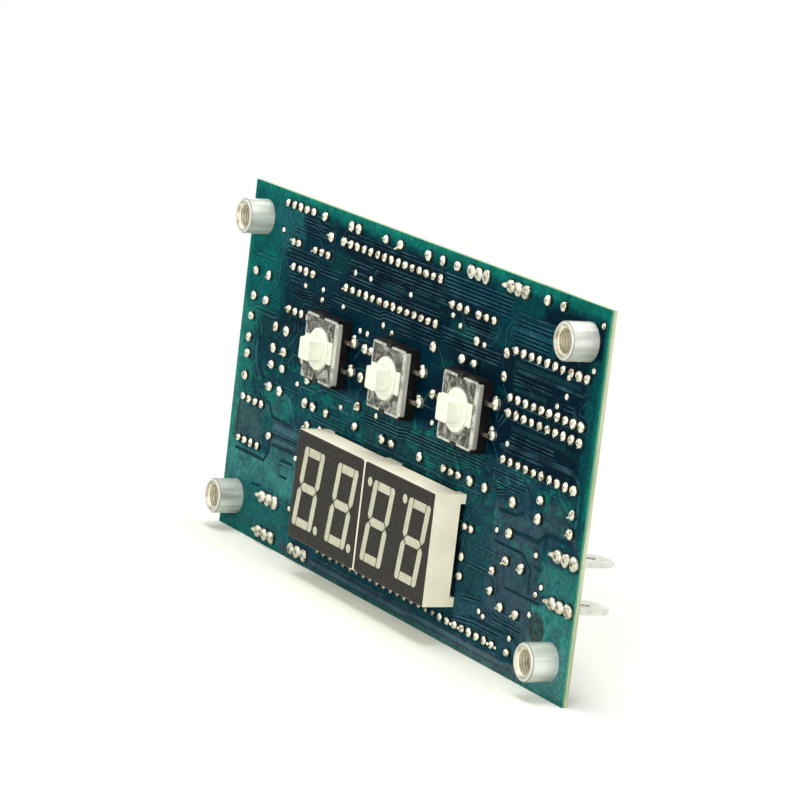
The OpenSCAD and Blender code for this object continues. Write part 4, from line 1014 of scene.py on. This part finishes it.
# Colour bands on the resistors: three of any colour but gold, and a gold one.
BANDS = (("band_brown", srgb(96, 54, 30)), ("band_black", srgb(26, 24, 24)), ("band_orange", srgb(206, 104, 34)),
         ("band_red", srgb(170, 34, 30)), ("band_gold", srgb(176, 140, 62)))
GOLD, BAND_WIDTH = 4, 0.5
bands = []
for name, paint in BANDS:
    b = Mat(name, paint, 0.35, 0, 0.5)
    bands.append(b.color(b.ramp(b.noise(2, 3), (0.3, tuple(v * 0.85 for v in paint[:3]) + (1,)), (0.7, paint))))
bm = bmesh.new()
for lo, hi in islands("resistor_bodies"):
    mid = (lo + hi) / 2
    r = (hi.y - lo.y) / 2
    flat = hi.x - lo.x > hi.z - lo.z
    axis = Vector((1, 0, 0)) if flat else Vector((0, 0, 1))
    end = Vector((lo.x, mid.y, mid.z)) if flat else Vector((mid.x, mid.y, lo.z))
    # The waist of the body is thinner than its ends.
    for off, rr, m in ((0.8, r, rnd.randrange(GOLD)), (2.1, r - 0.2, rnd.randrange(GOLD)),
                       (3.1, r - 0.2, rnd.randrange(GOLD)), (5.5, r, GOLD)):
        hoop(bm, end + axis * (off - BAND_WIDTH / 2), axis, rr, BAND_WIDTH, 28, m)
piece("resistor_bands", bm, bands)

# Bare ends of the can capacitors.
bm = bmesh.new()
for lo, hi in islands("can_capacitors"):
    x, z = middle(lo, hi)
    r = (hi.x - lo.x) / 2
    lathe(bm, (x, hi.y, z), (0, 1, 0), [(r - 0.55, -0.03), (r - 0.55, 0.02), (r - 0.75, 0.05), (0.25, 0.05)], 32)
piece("can_ends", bm, [sheet])

# A pale band at one end of each diode.
bm = bmesh.new()
for lo, hi in islands("diodes"):
    hoop(bm, ((lo.x + hi.x) / 2, (lo.y + hi.y) / 2, lo.z + 0.6), (0, 0, 1), (hi.x - lo.x) / 2, 0.6, 32)
pale = Mat("diode_band", srgb(190, 190, 188), 0.4, 0, 0.4).surface((2, 3, (176, 176, 172), (204, 204, 202)))
piece("diode_bands", bm, [pale])


# ---------- stage ----------

def seen_rays(tree):
    """1 for rays of the camera, of gloss and of transmission, which see the white background."""
    rays = add_node(tree, "LightPath").outputs
    out = rays["Is Camera Ray"]
    for kind in ("Is Glossy Ray", "Is Transmission Ray"):
        out = add_node(tree, "Math", {0: out, 1: rays[kind]}, operation="MAXIMUM").outputs[0]
    return out


# The floor: pale paper near the board, which takes its shadow and shine, and plain white further off.
FLOOR_REACH = 3.0
bm = bmesh.new()
corners = ((-1, -1), (1, -1), (1, 1), (-1, 1))
bm.faces.new([bm.verts.new((x * FLOOR_REACH, y * FLOOR_REACH, -H / 2 * MM)) for x, y in corners])
me = bpy.data.meshes.new("floor")
bm.to_mesh(me)
bm.free()
floor = put("floor", me)
paper = Mat("floor_paper", (0.8, 0.8, 0.79, 1), 0.9, 0, 0.0)
moved = paper.node("VectorMath", {0: paper.pos((1, 1, 1)), 1: (0.01, 0.05, 0.03)}, operation="ADD")
distance = paper.node("VectorMath", {0: moved.outputs[0]}, operation="LENGTH")
away = paper.remap(distance.outputs["Value"], 0.075, 0.16)
paper.color(paper.mix(away, (0.81, 0.825, 0.74, 1), (0.82, 0.82, 0.8, 1)))
white = paper.node("Emission", {"Color": (1, 1, 0.995, 1), "Strength": 1.0})
blend = paper.node("MixShader", {0: paper.mul(away, seen_rays(paper.tree)), 1: paper.b.outputs[0], 2: white.outputs[0]})
paper.tree.links.new(blend.outputs[0], paper.tree.nodes["Material Output"].inputs["Surface"])
me.materials.append(paper.m)

world = bpy.data.worlds.new("studio")
bpy.context.scene.world = world
world.use_nodes = True
sky = world.node_tree
soft = sky.nodes["Background"]
soft.inputs["Color"].default_value = (1, 1, 1, 1)
soft.inputs["Strength"].default_value = 0.45
seen = add_node(sky, "Background", {"Color": (1, 1, 1, 1), "Strength": 1.0})
blend = add_node(sky, "MixShader", {0: seen_rays(sky), 1: soft.outputs[0], 2: seen.outputs[0]})
sky.links.new(blend.outputs[0], sky.nodes["World Output"].inputs["Surface"])


def lamp(name, at, size, power):
    """An area light that points at the middle of the board."""
    d = bpy.data.lights.new(name, "AREA")
    d.shape = "RECTANGLE"
    d.size, d.size_y = size
    d.energy = power
    o = put(name, d)
    o.location = at
    o.rotation_euler = (-Vector(at)).to_track_quat("-Z", "Y").to_euler()


lamp("overhead", (0.0, -0.012, 0.75), (0.55, 0.4), 5.5)
lamp("right_front", (0.75, -0.55, 0.35), (0.5, 0.5), 5.4)
lamp("left_front", (-0.45, -0.7, 0.35), (0.5, 0.5), 2.0)

# Camera matched to the photograph.
cam = bpy.data.cameras.new("camera")
cam.sensor_width = 36
cam.lens = 184.92486322181767
cam.clip_start, cam.clip_end = 0.01, 20
co = put("camera", cam)
turn = Matrix(((0.46090548605177456, -0.2066760828175298, 0.863047582534462),
               (0.8797422991962103, -0.02148103602313628, -0.47496531672990433),
               (0.11670312734602739, 0.9781735847397302, 0.17192096493762066)))
shift = Matrix.Translation((0.5979407077247804, -0.32938465232973674, 0.12336503704112106))
co.matrix_world = shift @ turn.to_4x4()
bpy.context.scene.camera = co
bpy.context.scene.view_settings.view_transform = "Standard"
